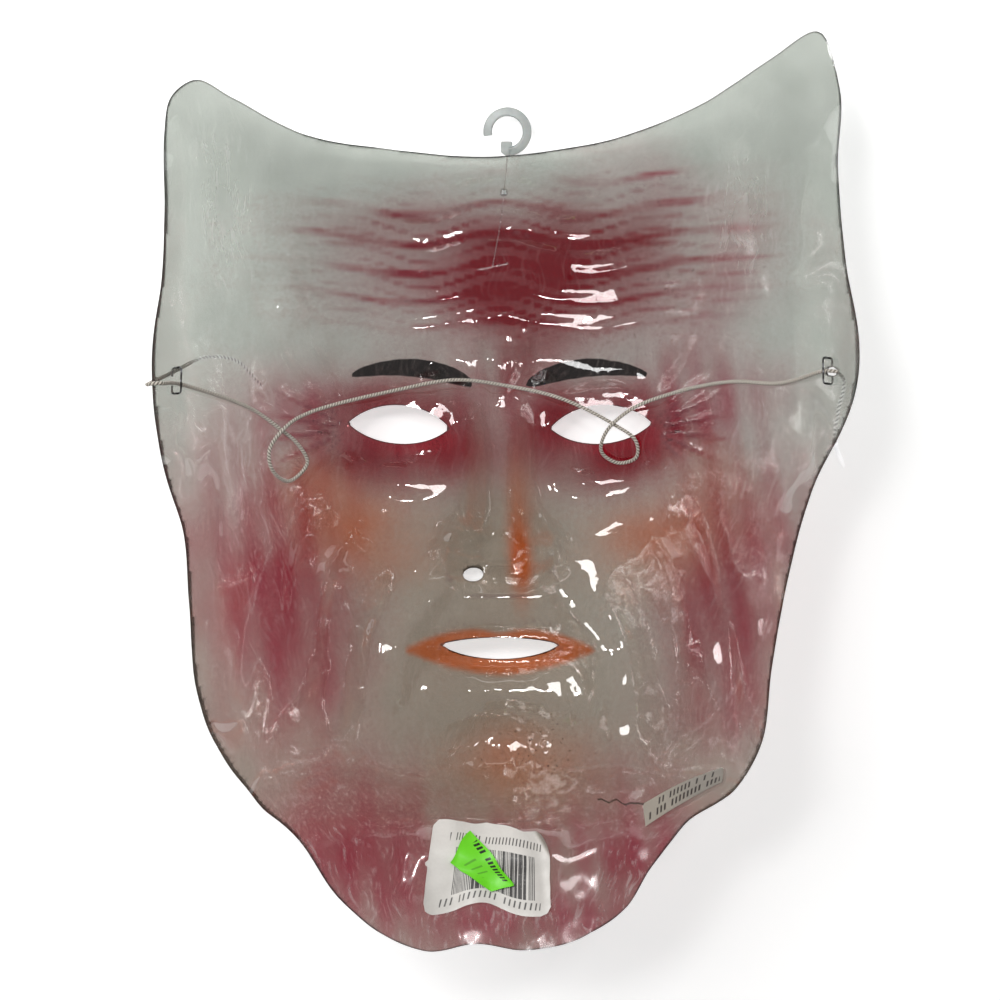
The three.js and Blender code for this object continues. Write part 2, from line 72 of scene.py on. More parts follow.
# The mould without its features: y, depth along the middle, half breadth of the ellipse across,
# and how far that ellipse would drop at its ends.
STATIONS = np.array([
    (-165, 29, 52, 26), (-145, 31, 56, 32), (-130, 34, 62, 44), (-121, 39, 68, 58),
    (-113, 50, 74, 76), (-104, 59, 79, 86), (-90, 60.5, 84, 88), (-70, 61, 91, 89),
    (-45, 61, 96, 92), (-15, 61.5, 102, 95), (20, 62, 105.5, 96), (42, 59, 105, 92),
    (62, 51, 104, 80), (80, 39, 104, 62), (100, 25, 106, 42), (120, 13, 109, 30),
])
ELLIPSE_FLOOR = 0.02
FLOOR_GAP = 0.05

# Rounded mounds: x, y, half widths, turn in degrees, height. One off the middle has a twin.
MOUNDS = (
    (0, 46, 44, 20, 0, 2), (30, 50, 19, 14, 0, 1.5), (27, BROW + 2, 15, 5.2, -8, 5.2),
    (47, 11, 8, 10, 0, 3.2), (0, BROW + 1, 9, 7, 0, 2.5), (EYE_X, 1, 16, 10.5, 0, -9.5),
    (EYE_X, -1, 12.5, 8.5, 0, 7.5), (13, 0, 4.5, 8, 0, -3.5), (EYE_X + 1, -16, 12, 4.6, 8, 3),
    (50, -24, 17, 13, -20, 7), (34, -37, 13, 12, -20, 5.5), (56, -62, 12, 20, 8, -5),
    (68, 36, 11, 20, 0, -5), (0, MOUTH + 4, 24, 17, 0, 7), (0, CHIN + 13, 15, 10.5, 0, 10),
    (0, CHIN + 28, 17, 4.6, 0, -4), (43, CHIN + 18, 13, 13, 0, 5.5),
    (14, NOSE_BASE + 8.5, 4.6, 6, 0, 9), (30, MOUTH, 5.5, 7, 0, -2),
)

# Creases, and ridges where the depth is negative, along a bent line: x, y, turn in degrees,
# half length, bend at the ends, half width, depth. One off the middle has a twin.
CREASES = (
    (7, 21, 82, 13, 1, 1.7, 1.8), (EYE_X, -22.5, 6, 17, 5, 2.2, 1.7),
    (EYE_X + 1, -28.5, 10, 19, 6, 2.4, 1.1), (25, -58, -56, 27, -3, 3.4, 2.9),
    (33, -53, -58, 25, -3, 5.5, -2.2), (46, -70, -80, 22, -3, 3.2, 2),
    (60, -66, -86, 22, -3, 3.4, 1.3), (35, -89, -74, 13, -2, 3, 1.6),
    (0, MOUTH + 4, 0, 26, -2, 2.4, -3), (0, MOUTH - 4.6, 0, 21, 2.5, 3.2, -4),
    (0, MOUTH, 0, 28, 1, 1.5, 2.6), (0, -129, 0, 30, 4, 2.4, 1.2),
    (13, -138, 90, 18, 2, 3, -1.4),
)

# Finer creases that only the dressed sheet has, in the same form.
FINE_CREASES = (
    (EYE_X, 10.5, 2, 16, -5, 1.0, 1.0), (EYE_X, 13, -4, 14, -4, 0.9, -0.5),
    (EYE_X + 1, -12, 3, 15, 5, 1.0, 0.9), (EYE_X + 2, -34, 12, 17, 6, 1.3, 0.7),
    (EYE_X + 3, -39, 16, 15, 5, 1.2, 0.5), (2.6, 19, 94, 9, 0.6, 0.9, 0.8),
    (0, 9.5, 0, 7, -1, 0.9, 0.6), (0, 5.6, 0, 6, -1, 0.8, 0.5), (0, 1.8, 0, 5, -1, 0.8, 0.4),
    (18.5, NOSE_BASE + 7, 84, 8, 3, 1.3, 1.4), (10, NOSE_BASE + 2, 20, 6, -2, 1.2, 0.8),
    (53, -46, -72, 21, -4, 1.5, 1.0), (41, -64, -70, 16, -3, 1.2, 0.8),
    (66, -42, -82, 22, -4, 1.5, 0.8), (72, -70, -88, 20, -3, 1.7, 0.9),
    (50, -84, -84, 15, -3, 1.3, 0.8), (66, -90, -80, 14, -3, 1.5, 0.7),
    (30, MOUTH - 9, -84, 9, -2, 1.2, 1.0), (24, MOUTH - 15, -70, 9, -2, 1.1, 0.7),
    (23, MOUTH + 11, -52, 9, 1, 1.0, 0.6), (0, CHIN + 22, 0, 17, -3, 1.7, 1.3),
    (0, CHIN + 18, 0, 12, -2, 1.2, 0.6), (54, CHIN + 13, 28, 15, 2, 1.6, 0.8),
    (44, CHIN + 4, 24, 14, 2, 1.5, 0.7), (29, -139, 84, 14, 1, 2.2, -1.0),
    (42, -132, 74, 12, 1, 2.0, -0.8), (58, 22, 64, 17, 2, 1.3, 1.0),
    (62, 38, 62, 20, 2, 1.2, 0.9), (69, 32, 66, 22, 2, 1.4, -0.9), (18, 76, 6, 26, 3, 1.3, 0.5),
    (36, 81, 10, 22, 3, 1.2, 0.5), (58, 74, 20, 15, 3, 1.3, 0.5), (66, 63, 30, 13, 2, 1.3, 0.6),
)

# Lines across the forehead: coarse ones of the mould, and finer ones between them.
FOREHEAD_LINES = dict(
    low=27, high=70, side=54, pitch=8.6, height=2.0, wave=2.2, wave_length=62, wave_reach=60,
)
FINE_LINES = dict(
    low=24, high=78, side=66, pitch=3.9, height=0.55, wave=2.8, wave_length=48, wave_reach=80,
)

# The fan of lines beside each eye.
EYE_FAN = dict(x=45, y=-1, pitch=0.3, inner=6, outer=26, spread=0.78, height=0.9)

# The nose: y, height of its ridge, half width.
NOSE = np.array([
    (20, 0, 8), (8, 1.5, 7.5), (-4, 6.5, 8), (-18, 13, 9), (-32, 19.5, 11), (-38, 21.5, 12.5),
    (-43, 18.5, 13), (-48, 7, 13), (-53, 0, 13),
])

# Flat spots on which the mask lies: x, y, half sizes, width of the blend around them.
FLAT_SPOTS = ((0, 46.5, 19, 3.6, 4), (0, -39.5, 4.8, 2.5, 3))

# The trimmed edge, anticlockwise from the tip of the left corner.
TRIM = (
    (-86, 96.5), (-92.5, 91), (-94.3, 80), (-94.5, 59), (-95.5, 40), (-97.6, 21), (-96.8, 2),
    (-94, -16), (-89.6, -32), (-87.5, -52), (-85.2, -74), (-77.5, -95), (-68, -109.5),
    (-57.5, -119.5), (-47, -137), (-35, -149), (-21.5, -155.3), (-6, -153.6), (7, -155.6),
    (22.5, -152), (36.5, -142), (44, -129.5), (53.5, -117.5), (67.5, -106.3), (74.6, -92),
    (78.4, -70), (83, -44.5), (89, -20.5), (98.4, 4.5), (99.8, 22), (97, 44), (95, 71.5),
    (95.3, 93), (89.5, 109), (78, 103.5), (60, 93), (37, 85), (13, 81.2), (-8, 80), (-33, 81.5),
    (-57, 84.2), (-76.5, 92.5),
)

# Openings in the sheet.
EYE_HOLE = dict(half_width=15.5, upper=6.4, lower=5.4, turn=0.05)
MOUTH_SLOT = dict(half_width=18.5, rise=1.4, half_height=3.5)
NOSTRIL = dict(x=-8.5, y=NOSE_BASE + 1.6, radius_x=3.2, radius_y=2.0)
CORD_HOLE = (94.35, 13.7, 1.3)
HOOK_HOLE = (1.2, 70.5, 0.9)

# Route of the elastic: x, y, height of its middle above the sheet's inner face. A height below
# zero is on the outer side. The points between the two numbers lie in the hollow.
CORD_ROUTE = (
    (-68.9, 11.6, -4), (-76.4, 18.3, -3), (-84.3, 18.8, -2.6), (-91.4, 14.2, -2.6),
    (-97.3, 9.8, -1.6), (-97.85, 9.6, -0.75), (-98.05, 9.6, 0.8), (-97.85, 9.6, 2.4),
    (-97.3, 9.6, 3.2), (-92.6, 10.2, 1.3),
    (-74.5, 4.2, 1.3), (-67.4, -0.8, 1.6), (-61.6, -5.6, 1.7), (-59.2, -11.8, 1.8),
    (-64.4, -17.1, 1.3), (-69, -13.4, 1.4), (-69.8, -7.4, 1.8),
    (-66.2, -1, 3.2), (-59, 3.2, 2), (-31, 10.4, 1.7), (-14, 12.8, 2.4),
    (3, 11.8, 2.6), (19, 7.6, 2.1), (35.4, 0.6, 1.4),
    (42, -4.2, 1.3), (42.4, -9, 1.3), (36.8, -10.6, 1.4), (31.6, -7.4, 1.8),
    (33.2, -1.2, 3.4), (40.4, 4.6, 2.8), (54, 9.2, 2), (69, 12.2, 1.5), (83, 11.2, 1.4),
    (92.9, 13.8, 1.3), (94.2, 13.8, 0.5), (94.8, 13.4, -1.4), (94.8, 11.4, -3.5),
    (93.5, 2, -3.1), (92.3, -6.5, -3.8), (91, -12.6, -8.8),
)
CORD_IN_HOLLOW = (9, 34)

# Spacing of the elastic's ribs, length of one turn of its twisted tails, reach over which each
# tail passes into the braid, length of the pressed tip, and the spacing and corners of the mesh.
BRAID_PITCH = 0.95
TWIST_PITCH = 2.6
START_TAIL, END_TAIL, PRESSED_TIP = (24, 32), (24, 30), (7, 9)
CORD_STEP, CORD_SIDES = 0.17, 14

# Staples: crown, rise of the crown over the sheet, and the clinched ends below it.
STAPLE = dict(crown=7.4, rise=2.05, drop=0.75, end=1.3)
STAPLE_PLACES = {"staple_left": (-92.6, 11.2), "staple_right": (93.6, 13.9)}

# Hanging hook: an open flat ring whose lower end is a small block, given from the ring's middle
# as half width, middle, top and low; the stem through the sheet, and the cross bar.
HOOK = dict(
    x=2.2, ring_y=86.5, outer=7.2, inner=4.6, thick=1.6, mouth=3.34, foot_y=79.0,
    block=(1.75, -0.25, -2.95, -5.9), stem=0.45, bar=(-2.3, 49.5), bar_length=9.8, bar_turn=0.2,
    bar_thick=0.6,
)

# Labels: corners as x, y in the order lower left, lower right, upper right, upper left; the flat
# outline from the lower left corner; how far the lower and the upper edge are bowed; a point of
# the fold line, the way across it in degrees and the fold's radius; share of fading.
PAPER_LABEL = dict(
    corners=((-23.5, -145), (15.5, -146), (15, -123.5), (-20.5, -119.6)), lift=0.5, wave=0.9,
    outline=(
        (3.2, 0.1), (12, 0), (20, 0.2), (30, 0), (35.8, 0.2), (38.1, 1.2), (39, 3.6), (38.8, 12),
        (39, 20), (38.7, 25), (34.4, 26.2), (30, 25), (24, 26), (18, 27), (14, 26), (8, 25.4),
        (2.2, 25.7), (0.5, 24.6), (0.3, 15.8), (-0.6, 15.3), (-0.5, 14.5), (0.3, 14.1),
        (0.1, 3.8), (0.9, 1.2),
    ),
    bow=(4.0, 0.0), fold=(35.6, 22.8, 42, 2.2), faded=0.0,
)
PRICE_STICKER = dict(
    corners=((-15.8, -129.8), (-2.6, -138.6), (4.6, -136.8), (-7.8, -121.8)), lift=1.4, wave=0.9,
    outline=(
        (0, 0), (8, -0.1), (15.8, 0), (15.7, 5.6), (15.9, 11.2), (8, 11), (0.1, 9.8), (-0.1, 4.9),
    ),
    bow=(0.8, 0.4), fold=(14.8, 10.4, 38, 1.6), faded=0.0,
)
ORIGIN_LABEL = dict(
    corners=((43, -119.2), (65, -105), (65.6, -100.6), (42.7, -113.8)), lift=0.5, wave=0.0,
    outline=((0, 0.1), (13, 0), (26, 0.2), (26.2, 2.8), (26, 5.2), (13, 5.4), (0.1, 5.3)),
    bow=(0.0, 0.0), fold=(40, 6, 0, 2.0), faded=0.8,
)
LABEL_WAVES = 2.2
LABEL_WAVE_SPAN = 39.0


def linear(code):
    """An sRGB hex colour such as "#aabbcc" as three linear values and full opacity."""
    share = np.array([int(code[k:k + 2], 16) for k in (1, 3, 5)]) / 255
    return (*np.where(share <= 0.04045, share / 12.92, ((share + 0.055) / 1.055) ** 2.4), 1.0)


def length_setting(name, description, default):
    """A length among the settings, in metres."""
    return bpy.props.FloatProperty(
        name=name, description=description, default=default, unit="LENGTH", precision=5)


def colour_setting(name, description, code):
    """A colour among the settings, from its sRGB hex code."""
    return bpy.props.FloatVectorProperty(
        name=name, description=description, default=linear(code), size=4, subtype="COLOR")


class MaskSheetSettings(bpy.types.PropertyGroup):
    """Sizes of the formed sheet."""

    thickness: length_setting("Thickness", "Thickness of the plastic", 0.0005)
    cell: length_setting("Cell", "Spacing of the sheet's points in plan", 0.00108)
    ripple: length_setting("Ripple", "Height of the plastic's small waves", 0.0003)
    folds: length_setting("Folds", "Height of the stretched folds on the side walls", 0.0007)


class MaskColourSettings(bpy.types.PropertyGroup):
    """Colours of the sheet, the airbrushed paint and the fittings."""

    plastic: colour_setting("Plastic", "Clear sheet with its greyish haze", "#b6bcb4")
    flesh: colour_setting("Flesh", "Faint tan wash around the nose and mouth", "#937a63")
    rose: colour_setting("Rose", "Pink airbrush on temples, cheeks and neck", "#9c3a4c")
    red: colour_setting("Red", "Deep red airbrush on the forehead", "#82081a")
    orange: colour_setting("Orange", "Orange airbrush on cheeks, lips and nose", "#bd6028")
    brown: colour_setting("Brown", "Near-black brown of the brows", "#130a08")
    elastic: colour_setting("Elastic", "White braided elastic", "#dad2c6")
    sticker: colour_setting("Sticker", "Fluorescent green paper", "#74e51f")


class MaskFittingSettings(bpy.types.PropertyGroup):
    """Sizes of the elastic and the staples."""

    cord: length_setting("Elastic", "Diameter of the elastic", 0.0012)
    wire: length_setting("Staple wire", "Diameter of the staples' wire", 0.0006)


class MaskStageSettings(bpy.types.PropertyGroup):
    """Floor and lights."""

    floor: colour_setting("Floor", "Plain pale floor", "#efefee")
    glow: bpy.props.FloatProperty(
        name="Glow", description="Light that the floor gives of itself", default=0.55)
    ambient: bpy.props.FloatProperty(
        name="Ambient", description="Strength of the even light from all round", default=0.22)
    key: bpy.props.FloatProperty(
        name="Key", description="Power that the softboxes share out", default=2.6, unit="POWER")


def settings():
    """The four groups of settings, in the order sheet, colours, fittings, stage."""
    scene = bpy.context.scene
    return scene.mask_sheet, scene.mask_colours, scene.mask_fittings, scene.mask_stage


def laid(points):
    """Points of the drawing in the frame, in metres: turned down at the forehead end about the
    x axis by the rest tilt, moved over the middle of the floor and raised onto it."""
    points = np.asarray(points, float)
    cosine, sine = np.cos(REST_TILT), np.sin(REST_TILT)
    x, y, z = points[..., 0], points[..., 1], points[..., 2]
    rest = (x - CENTRE_X, y * cosine + z * sine - CENTRE_Y, z * cosine - y * sine + REST_DEPTH)
    return MM * np.stack(rest, -1)


def along(rows, column, y):
    """Value of one column of a table at each y: a cubic between two rows that takes its slope at
    a row from the rows on both sides of it."""
    rows = rows if rows[-1, 0] > rows[0, 0] else rows[::-1]
    at, value = rows[:, 0], rows[:, column]
    slopes = np.empty_like(at)
    slopes[1:-1] = (value[2:] - value[:-2]) / (at[2:] - at[:-2])
    slopes[0] = (value[1] - value[0]) / (at[1] - at[0])
    slopes[-1] = (value[-1] - value[-2]) / (at[-1] - at[-2])
    i = np.clip(np.searchsorted(at, y) - 1, 0, len(at) - 2)
    step = at[i + 1] - at[i]
    t = np.clip((y - at[i]) / step, 0, 1)
    return (
        value[i] * (1 + 2 * t) * (1 - t) ** 2
        + slopes[i] * step * t * (1 - t) ** 2
        + value[i + 1] * t * t * (3 - 2 * t)
        + slopes[i + 1] * step * t * t * (t - 1)
    )


def turned(dx, dy, degrees):
    """Two offsets in axes turned by an angle."""
    angle = np.radians(degrees)
    return dx * np.cos(angle) + dy * np.sin(angle), dy * np.cos(angle) - dx * np.sin(angle)


def paired(x, centre, feature):
    """A feature, and its twin on the other side where it is off the middle."""
    return feature(x) if centre == 0 else feature(x - centre) + feature(-x - centre)


def mound(x, y, cx, cy, half_x, half_y, turn, height):
    """A rounded hill: the height times a bell curve of the turned offsets over its widths."""

    def one(dx):
        u, v = turned(dx, y - cy, turn)
        return height * np.exp(-((u / half_x) ** 2 + (v / half_y) ** 2) / 2)

    return paired(x, cx, one)


def crease(x, y, cx, cy, turn, half, bend, width, depth):
    """A groove with a bell-shaped section along a parabola, fading at its ends."""

    def one(dx):
        u, v = turned(dx, y - cy, turn)
        u = u / half
        return -depth * np.exp(-(((v - bend * u * u) / width) ** 2) / 2 - u ** 4)

    return paired(x, cx, one)


def brow_lines(x, y, low, high, side, pitch, height, wave, wave_length, wave_reach):
    """Lines across the forehead: soft bulges with sharper valleys, from the root of a squared
    cosine of the height, which sways across, faded out at the zone's sides, top and bottom."""
    middle = (low + high) / 2
    sway = np.cos(2 * np.pi * x / wave_length) * np.exp(-((x / wave_reach) ** 2))
    bulge = np.sqrt(np.cos(np.pi * (y - low - wave * sway) / pitch) ** 2 + 0.05) - 0.65
    return height * bulge * np.exp(-((x / side) ** 4) - ((y - middle) / (high - middle)) ** 4)


def eye_fan(x, y):
    """Lines that spread from each eye's outer corner: a cosine of the angle around it."""
    dx, dy = np.abs(x) - EYE_FAN["x"], y - EYE_FAN["y"]
    reach, angle = np.hypot(dx, dy), np.arctan2(dy, dx)
    fade = np.exp(-((angle / EYE_FAN["spread"]) ** 4) - (reach / EYE_FAN["outer"]) ** 4)
    fade = fade * (1 - np.exp(-((reach / EYE_FAN["inner"]) ** 2)))
    return EYE_FAN["height"] * np.cos(2 * np.pi * angle / EYE_FAN["pitch"]) * fade


def nose(x, y):
    """The nose: a ridge height along y times a flat-topped bell across it."""
    inside = (y < NOSE[0, 0]) & (y > NOSE[-1, 0])
    height = np.maximum(along(NOSE, 1, y), 0)
    return np.where(inside, height * np.exp(-np.abs(x / along(NOSE, 2, y)) ** 3), 0)


def floor_depth(y):
    """Depth at which the floor cuts the drawing."""
    return REST_DEPTH / np.cos(REST_TILT) - y * np.tan(REST_TILT)


def outer_depth(x, y):
    """Depth of the mould's outer face: an elliptic trough along y with the mounds, creases,
    forehead lines, eye fans and nose added, brought onto the floor at the flat spots."""
    ellipse = np.sqrt(np.maximum(1 - (x / along(STATIONS, 2, y)) ** 2, ELLIPSE_FLOOR))
    depth = along(STATIONS, 1, y) - along(STATIONS, 3, y) * (1 - ellipse)
    depth = depth + sum(mound(x, y, *row) for row in MOUNDS)
    depth = depth + sum(crease(x, y, *row) for row in CREASES)
    depth = depth + brow_lines(x, y, **FOREHEAD_LINES) + eye_fan(x, y) + nose(x, y)
    for cx, cy, half_x, half_y, blend in FLAT_SPOTS:
        across = np.maximum(np.abs(x - cx) - half_x, 0)
        share = 1 - smooth(np.hypot(across, np.maximum(np.abs(y - cy) - half_y, 0)), 0, blend)
        depth = depth + share * (floor_depth(y) - depth)
    return np.minimum(depth, floor_depth(y))


def smooth(value, low, high):
    """A smooth step from 0 at low to 1 at high."""
    t = np.clip((value - low) / (high - low), 0, 1)
    return t * t * (3 - 2 * t)


def waves(x, y, length_x, length_y, seed, count=9):
    """Smooth random waves from about -1 to 1: plane waves in random directions, their lengths
    spread around the given ones, summed."""
    rng = np.random.default_rng(seed)
    angle = rng.uniform(0, np.pi, count)
    phase = rng.uniform(0, 2 * np.pi, count)
    scale = rng.uniform(0.75, 1.35, count)
    total = np.zeros(np.broadcast(x, y).shape)
    for a, p, s in zip(angle, phase, scale):
        total += np.cos(2 * np.pi * s * (x * np.cos(a) / length_x + y * np.sin(a) / length_y) + p)
    return total / np.sqrt(count)


def distance_to(x, y, outline, closed=True):
    """Signed distance to a polygon, negative inside: the smallest distance to its sides, with
    its sign from counting the sides crossed on the way out along x. An open line has no inside."""
    start = np.asarray(outline, float)
    end = np.roll(start, -1, axis=0)
    if not closed:
        start, end = start[:-1], end[:-1]
    best = np.full(x.shape, np.inf)
    crossings = np.zeros(x.shape, int)
    for rows in np.array_split(np.arange(x.size), max(1, x.size * len(start) // 2_000_000)):
        px, py = x.ravel()[rows, None], y.ravel()[rows, None]
        ex, ey = (end - start).T
        dx, dy = px - start[:, 0], py - start[:, 1]
        t = np.clip((dx * ex + dy * ey) / (ex * ex + ey * ey), 0, 1)
        best.ravel()[rows] = np.hypot(dx - t * ex, dy - t * ey).min(1)
        spans = (start[:, 1] > py) != (end[:, 1] > py)
        side = px < start[:, 0] + ex * dy / np.where(ey == 0, 1e-12, ey)
        crossings.ravel()[rows] = (spans & side).sum(1)
    return np.where((crossings % 2 == 1) & closed, -best, best)


def curve_through(points, steps, closed=False):
    """A smooth line through points, stepped evenly between them: the centripetal cubic, whose
    slopes weigh each neighbouring stretch by the root of its length."""
    points = np.asarray(points, float)
    if closed:
        before, after = np.roll(points, 1, 0), np.roll(points, -1, 0)
        beyond = np.roll(points, -2, 0)
        now = points
    else:
        padded = np.vstack([2 * points[0] - points[1], points, 2 * points[-1] - points[-2]])
        before, now, after, beyond = padded[:-3], padded[1:-2], padded[2:-1], padded[3:]
    gaps = [
        np.sqrt(np.linalg.norm(b - a, axis=1))[:, None]
        for a, b in ((before, now), (now, after), (after, beyond))
    ]
    first, middle, last = gaps
    leave = (now - before) / first - (after - before) / (first + middle) + (after - now) / middle
    arrive = (after - now) / middle - (beyond - now) / (middle + last) + (beyond - after) / last
    leave, arrive = leave * middle, arrive * middle
    t = (np.arange(steps) / steps)[None, :, None]
    now, after, leave, arrive = (part[:, None] for part in (now, after, leave, arrive))
    line = now + leave * t + (3 * (after - now) - 2 * leave - arrive) * t ** 2
    line = line + (2 * (now - after) + leave + arrive) * t ** 3
    line = line.reshape(-1, points.shape[1])
    return line if closed else np.vstack([line, points[-1]])


def even_steps(line, step):
    """Points at even distances along a line."""
    reach = np.concatenate([[0], np.cumsum(np.linalg.norm(np.diff(line, axis=0), axis=1))])
    at = np.linspace(0, reach[-1], max(2, round(reach[-1] / step) + 1))
    return np.stack([np.interp(at, reach, line[:, k]) for k in range(line.shape[1])], -1), at


def bezier(*corners, count=24):
    """Points of a cubic Bezier curve, its end left out."""
    t = np.arange(count)[:, None] / count
    a, b, c, d = (np.asarray(corner, float) for corner in corners)
    return a * (1 - t) ** 3 + 3 * b * t * (1 - t) ** 2 + 3 * c * t * t * (1 - t) + d * t ** 3


def eye_outline(side):
    """Almond of two Bezier arcs around an eye, turned a little."""
    w, up, low = EYE_HOLE["half_width"], EYE_HOLE["upper"] * 1.33, EYE_HOLE["lower"] * 1.33
    upper = bezier((w, 0), (w / 2, up), (-w / 2, up), (-w, 0))
    lower = bezier((-w, 0), (-w / 2, -low), (w / 2, -low), (w, 0))
    x, y = np.vstack([upper, lower]).T
    x, y = turned(x, y, -np.degrees(side * EYE_HOLE["turn"]))
    return np.stack([x + side * EYE_X, y], -1)


def mouth_outline():
    """Slot of two Bezier arcs with pointed ends that rise slightly."""
    w, rise, h = MOUTH_SLOT["half_width"], MOUTH_SLOT["rise"], MOUTH_SLOT["half_height"]
    top = h * 1.2 - rise / 3
    upper = bezier((w, rise), (w / 2, top), (-w / 2, top), (-w, rise))
    lower = bezier((-w, rise), (-w / 2, -h * 1.5), (w / 2, -h * 1.5), (w, rise))
    return np.vstack([upper, lower]) + (0, MOUTH)


def round_outline(cx, cy, radius_x, radius_y, count=28):
    """Points of an ellipse."""
    angle = np.arange(count) * 2 * np.pi / count
    return np.stack([cx + radius_x * np.cos(angle), cy + radius_y * np.sin(angle)], -1)


def openings():
    """Outlines of all the openings that the sheet has."""
    nostril = round_outline(*NOSTRIL.values())
    pins = [round_outline(x, y, radius, radius, 16) for x, y, radius in (CORD_HOLE, HOOK_HOLE)]
    return [eye_outline(-1), eye_outline(1), mouth_outline(), nostril, *pins]


def sheet_distance(x, y):
    """Signed distance to the sheet's cut edges, negative on the plastic."""
    trim = distance_to(x, y, curve_through(TRIM, 8, closed=True))
    for hole in openings():
        trim = np.maximum(trim, -distance_to(x, y, hole))
    return trim


def fittings_distance(x, y):
    """Distance in plan to the elastic on the inner face, the hook's stem and the labels."""
    inside = [place[:2] for place in CORD_ROUTE[slice(*CORD_IN_HOLLOW)]]
    near = distance_to(x, y, curve_through(inside, 4), closed=False)
    stem = ((HOOK["x"], HOOK["foot_y"]), HOOK_HOLE[:2], HOOK["bar"])
    near = np.minimum(near, distance_to(x, y, stem, closed=False))
    for label in (PAPER_LABEL, ORIGIN_LABEL):
        near = np.minimum(near, distance_to(x, y, label["corners"]))
    return np.maximum(near, 0)


def lip_lines(x, y):
    """Fine lines across both lips: a cosine along x, faded out away from the mouth."""
    fade = np.exp(-((x / 23) ** 4) - ((y - MOUTH) / 11) ** 4)
    return np.cos(2 * np.pi * (x + 0.05 * x * (y - MOUTH)) / 3.4) * fade


def relief(x, y, ripple, folds):
    """Relief of the formed plastic beyond the mould's main form, in millimetres of depth: finer
    creases and lines at slightly shifted places, small waves all over, dimples on the chin, and
    long upright folds on the side walls. It dies out under the fittings and at the flat spots."""
    shift_x = x + 1.1 * waves(x, y, 46, 46, 11)
    shift_y = y + 1.1 * waves(x, y, 46, 46, 12)
    fine = sum(crease(shift_x, shift_y, *row) for row in FINE_CREASES)
    fine = fine + brow_lines(shift_x, shift_y, **FINE_LINES) + 0.22 * lip_lines(shift_x, shift_y)
    chin = np.exp(-((x / 19) ** 4) - ((y - CHIN - 12) / 14) ** 4)
    fine = fine + 0.24 * chin * waves(x, y, 4.6, 4.6, 13)
    middle = 1 - smooth(np.abs(x), 52, 76)
    fine = fine + ripple * (0.5 + 0.5 * middle) * waves(x, y, 17, 13, 14)
    fine = fine + 0.22 * ripple * middle * waves(x, y, 6.4, 5.6, 15)
    wander = 2.0 * smooth(-y, 94, 108) * waves(x, y, 40, 120, 18)
    fine = fine + outer_depth(x, y + wander) - outer_depth(x, y)
    wall = smooth(np.abs(x), 46, 72) * (0.5 + 0.5 * smooth(waves(x, y, 50, 70, 16), -0.8, 0.8))
    lean = x + 0.12 * np.sign(x) * y
    fine = fine + folds * wall * waves(lean, y, 8.5, 64, 17)
    for cx, cy, half_x, half_y, blend in FLAT_SPOTS:
        outside = np.hypot((x - cx) / (half_x + blend), (y - cy) / (half_y + blend))
        fine = fine * smooth(outside, 0.9, 1.7)
    return fine * (0.12 + 0.88 * smooth(fittings_distance(x, y), 0.6, 5))


def sheet_depth(x, y):
    """Depth of the dressed sheet's outer face, a hair clear of the floor at the least."""
    sheet = settings()[0]
    fine = relief(x, y, sheet.ripple / MM, sheet.folds / MM)
    return np.minimum(outer_depth(x, y) + fine, floor_depth(y) - FLOOR_GAP)


def slopes_of(depth, x, y, reach=0.4):
    """How fast a depth grows along x and along y, by central differences."""
    along_x = (depth(x + reach, y) - depth(x - reach, y)) / (2 * reach)
    along_y = (depth(x, y + reach) - depth(x, y - reach)) / (2 * reach)
    return along_x, along_y


def frame_at(x, y):
    """Point of the mould's inner face, its normal into the hollow, and the way up along it."""
    along_x, along_y = slopes_of(outer_depth, x, y)
    length = np.sqrt(1 + along_x ** 2 + along_y ** 2)
    inner = outer_depth(x, y) - settings()[0].thickness / MM * length
    point = np.stack([x, y, -inner], -1)
    normal = np.stack([along_x, along_y, np.ones_like(x)], -1) / length[..., None]
    up = np.stack([np.zeros_like(x), np.ones_like(x), -along_y], -1)
    return point, normal, up / np.linalg.norm(up, axis=-1, keepdims=True)


def above_sheet(places):
    """Points at a height over the inner face, from rows of x, y and height."""
    places = np.asarray(places, float)
    point, normal, _ = frame_at(places[..., 0], places[..., 1])
    return point + normal * places[..., 2:3]


def new_piece(name, points, faces, material, replaced=(), sharp=50):
    """A finished piece: its points in the frame, faces as arrays of three or four corners, shaded
    smooth with edges sharper than an angle kept, riding on the part's one body."""
    mesh = bpy.data.meshes.new(name)
    mesh.vertices.add(len(points))
    mesh.vertices.foreach_set("co", np.ascontiguousarray(points, np.float32).ravel())
    corners = np.concatenate([np.asarray(face).ravel() for face in faces])
    sizes = np.concatenate([np.full(len(face), np.asarray(face).shape[1]) for face in faces])
    mesh.loops.add(len(corners))
    mesh.loops.foreach_set("vertex_index", corners.astype(np.int32))
    mesh.polygons.add(len(sizes))
    mesh.polygons.foreach_set("loop_start", (np.cumsum(sizes) - sizes).astype(np.int32))
    mesh.update(calc_edges=True)
    if mesh.validate():
        raise RuntimeError(f"{name} has faces that don't join up")
    mesh.shade_smooth()
    mesh.set_sharp_from_angle(angle=np.radians(sharp))
    piece = bpy.data.objects.new(name, mesh)
    bpy.context.scene.collection.objects.link(piece)
    mesh.materials.append(material)
    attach(piece, "root")
    if replaced:
        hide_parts(*replaced)
    return piece


def set_attribute(piece, name, values):
    """Stores one number a point on a piece, for its material."""
    layer = piece.data.attributes.new(name, "FLOAT", "POINT")
    layer.data.foreach_set("value", np.ascontiguousarray(values, np.float32))


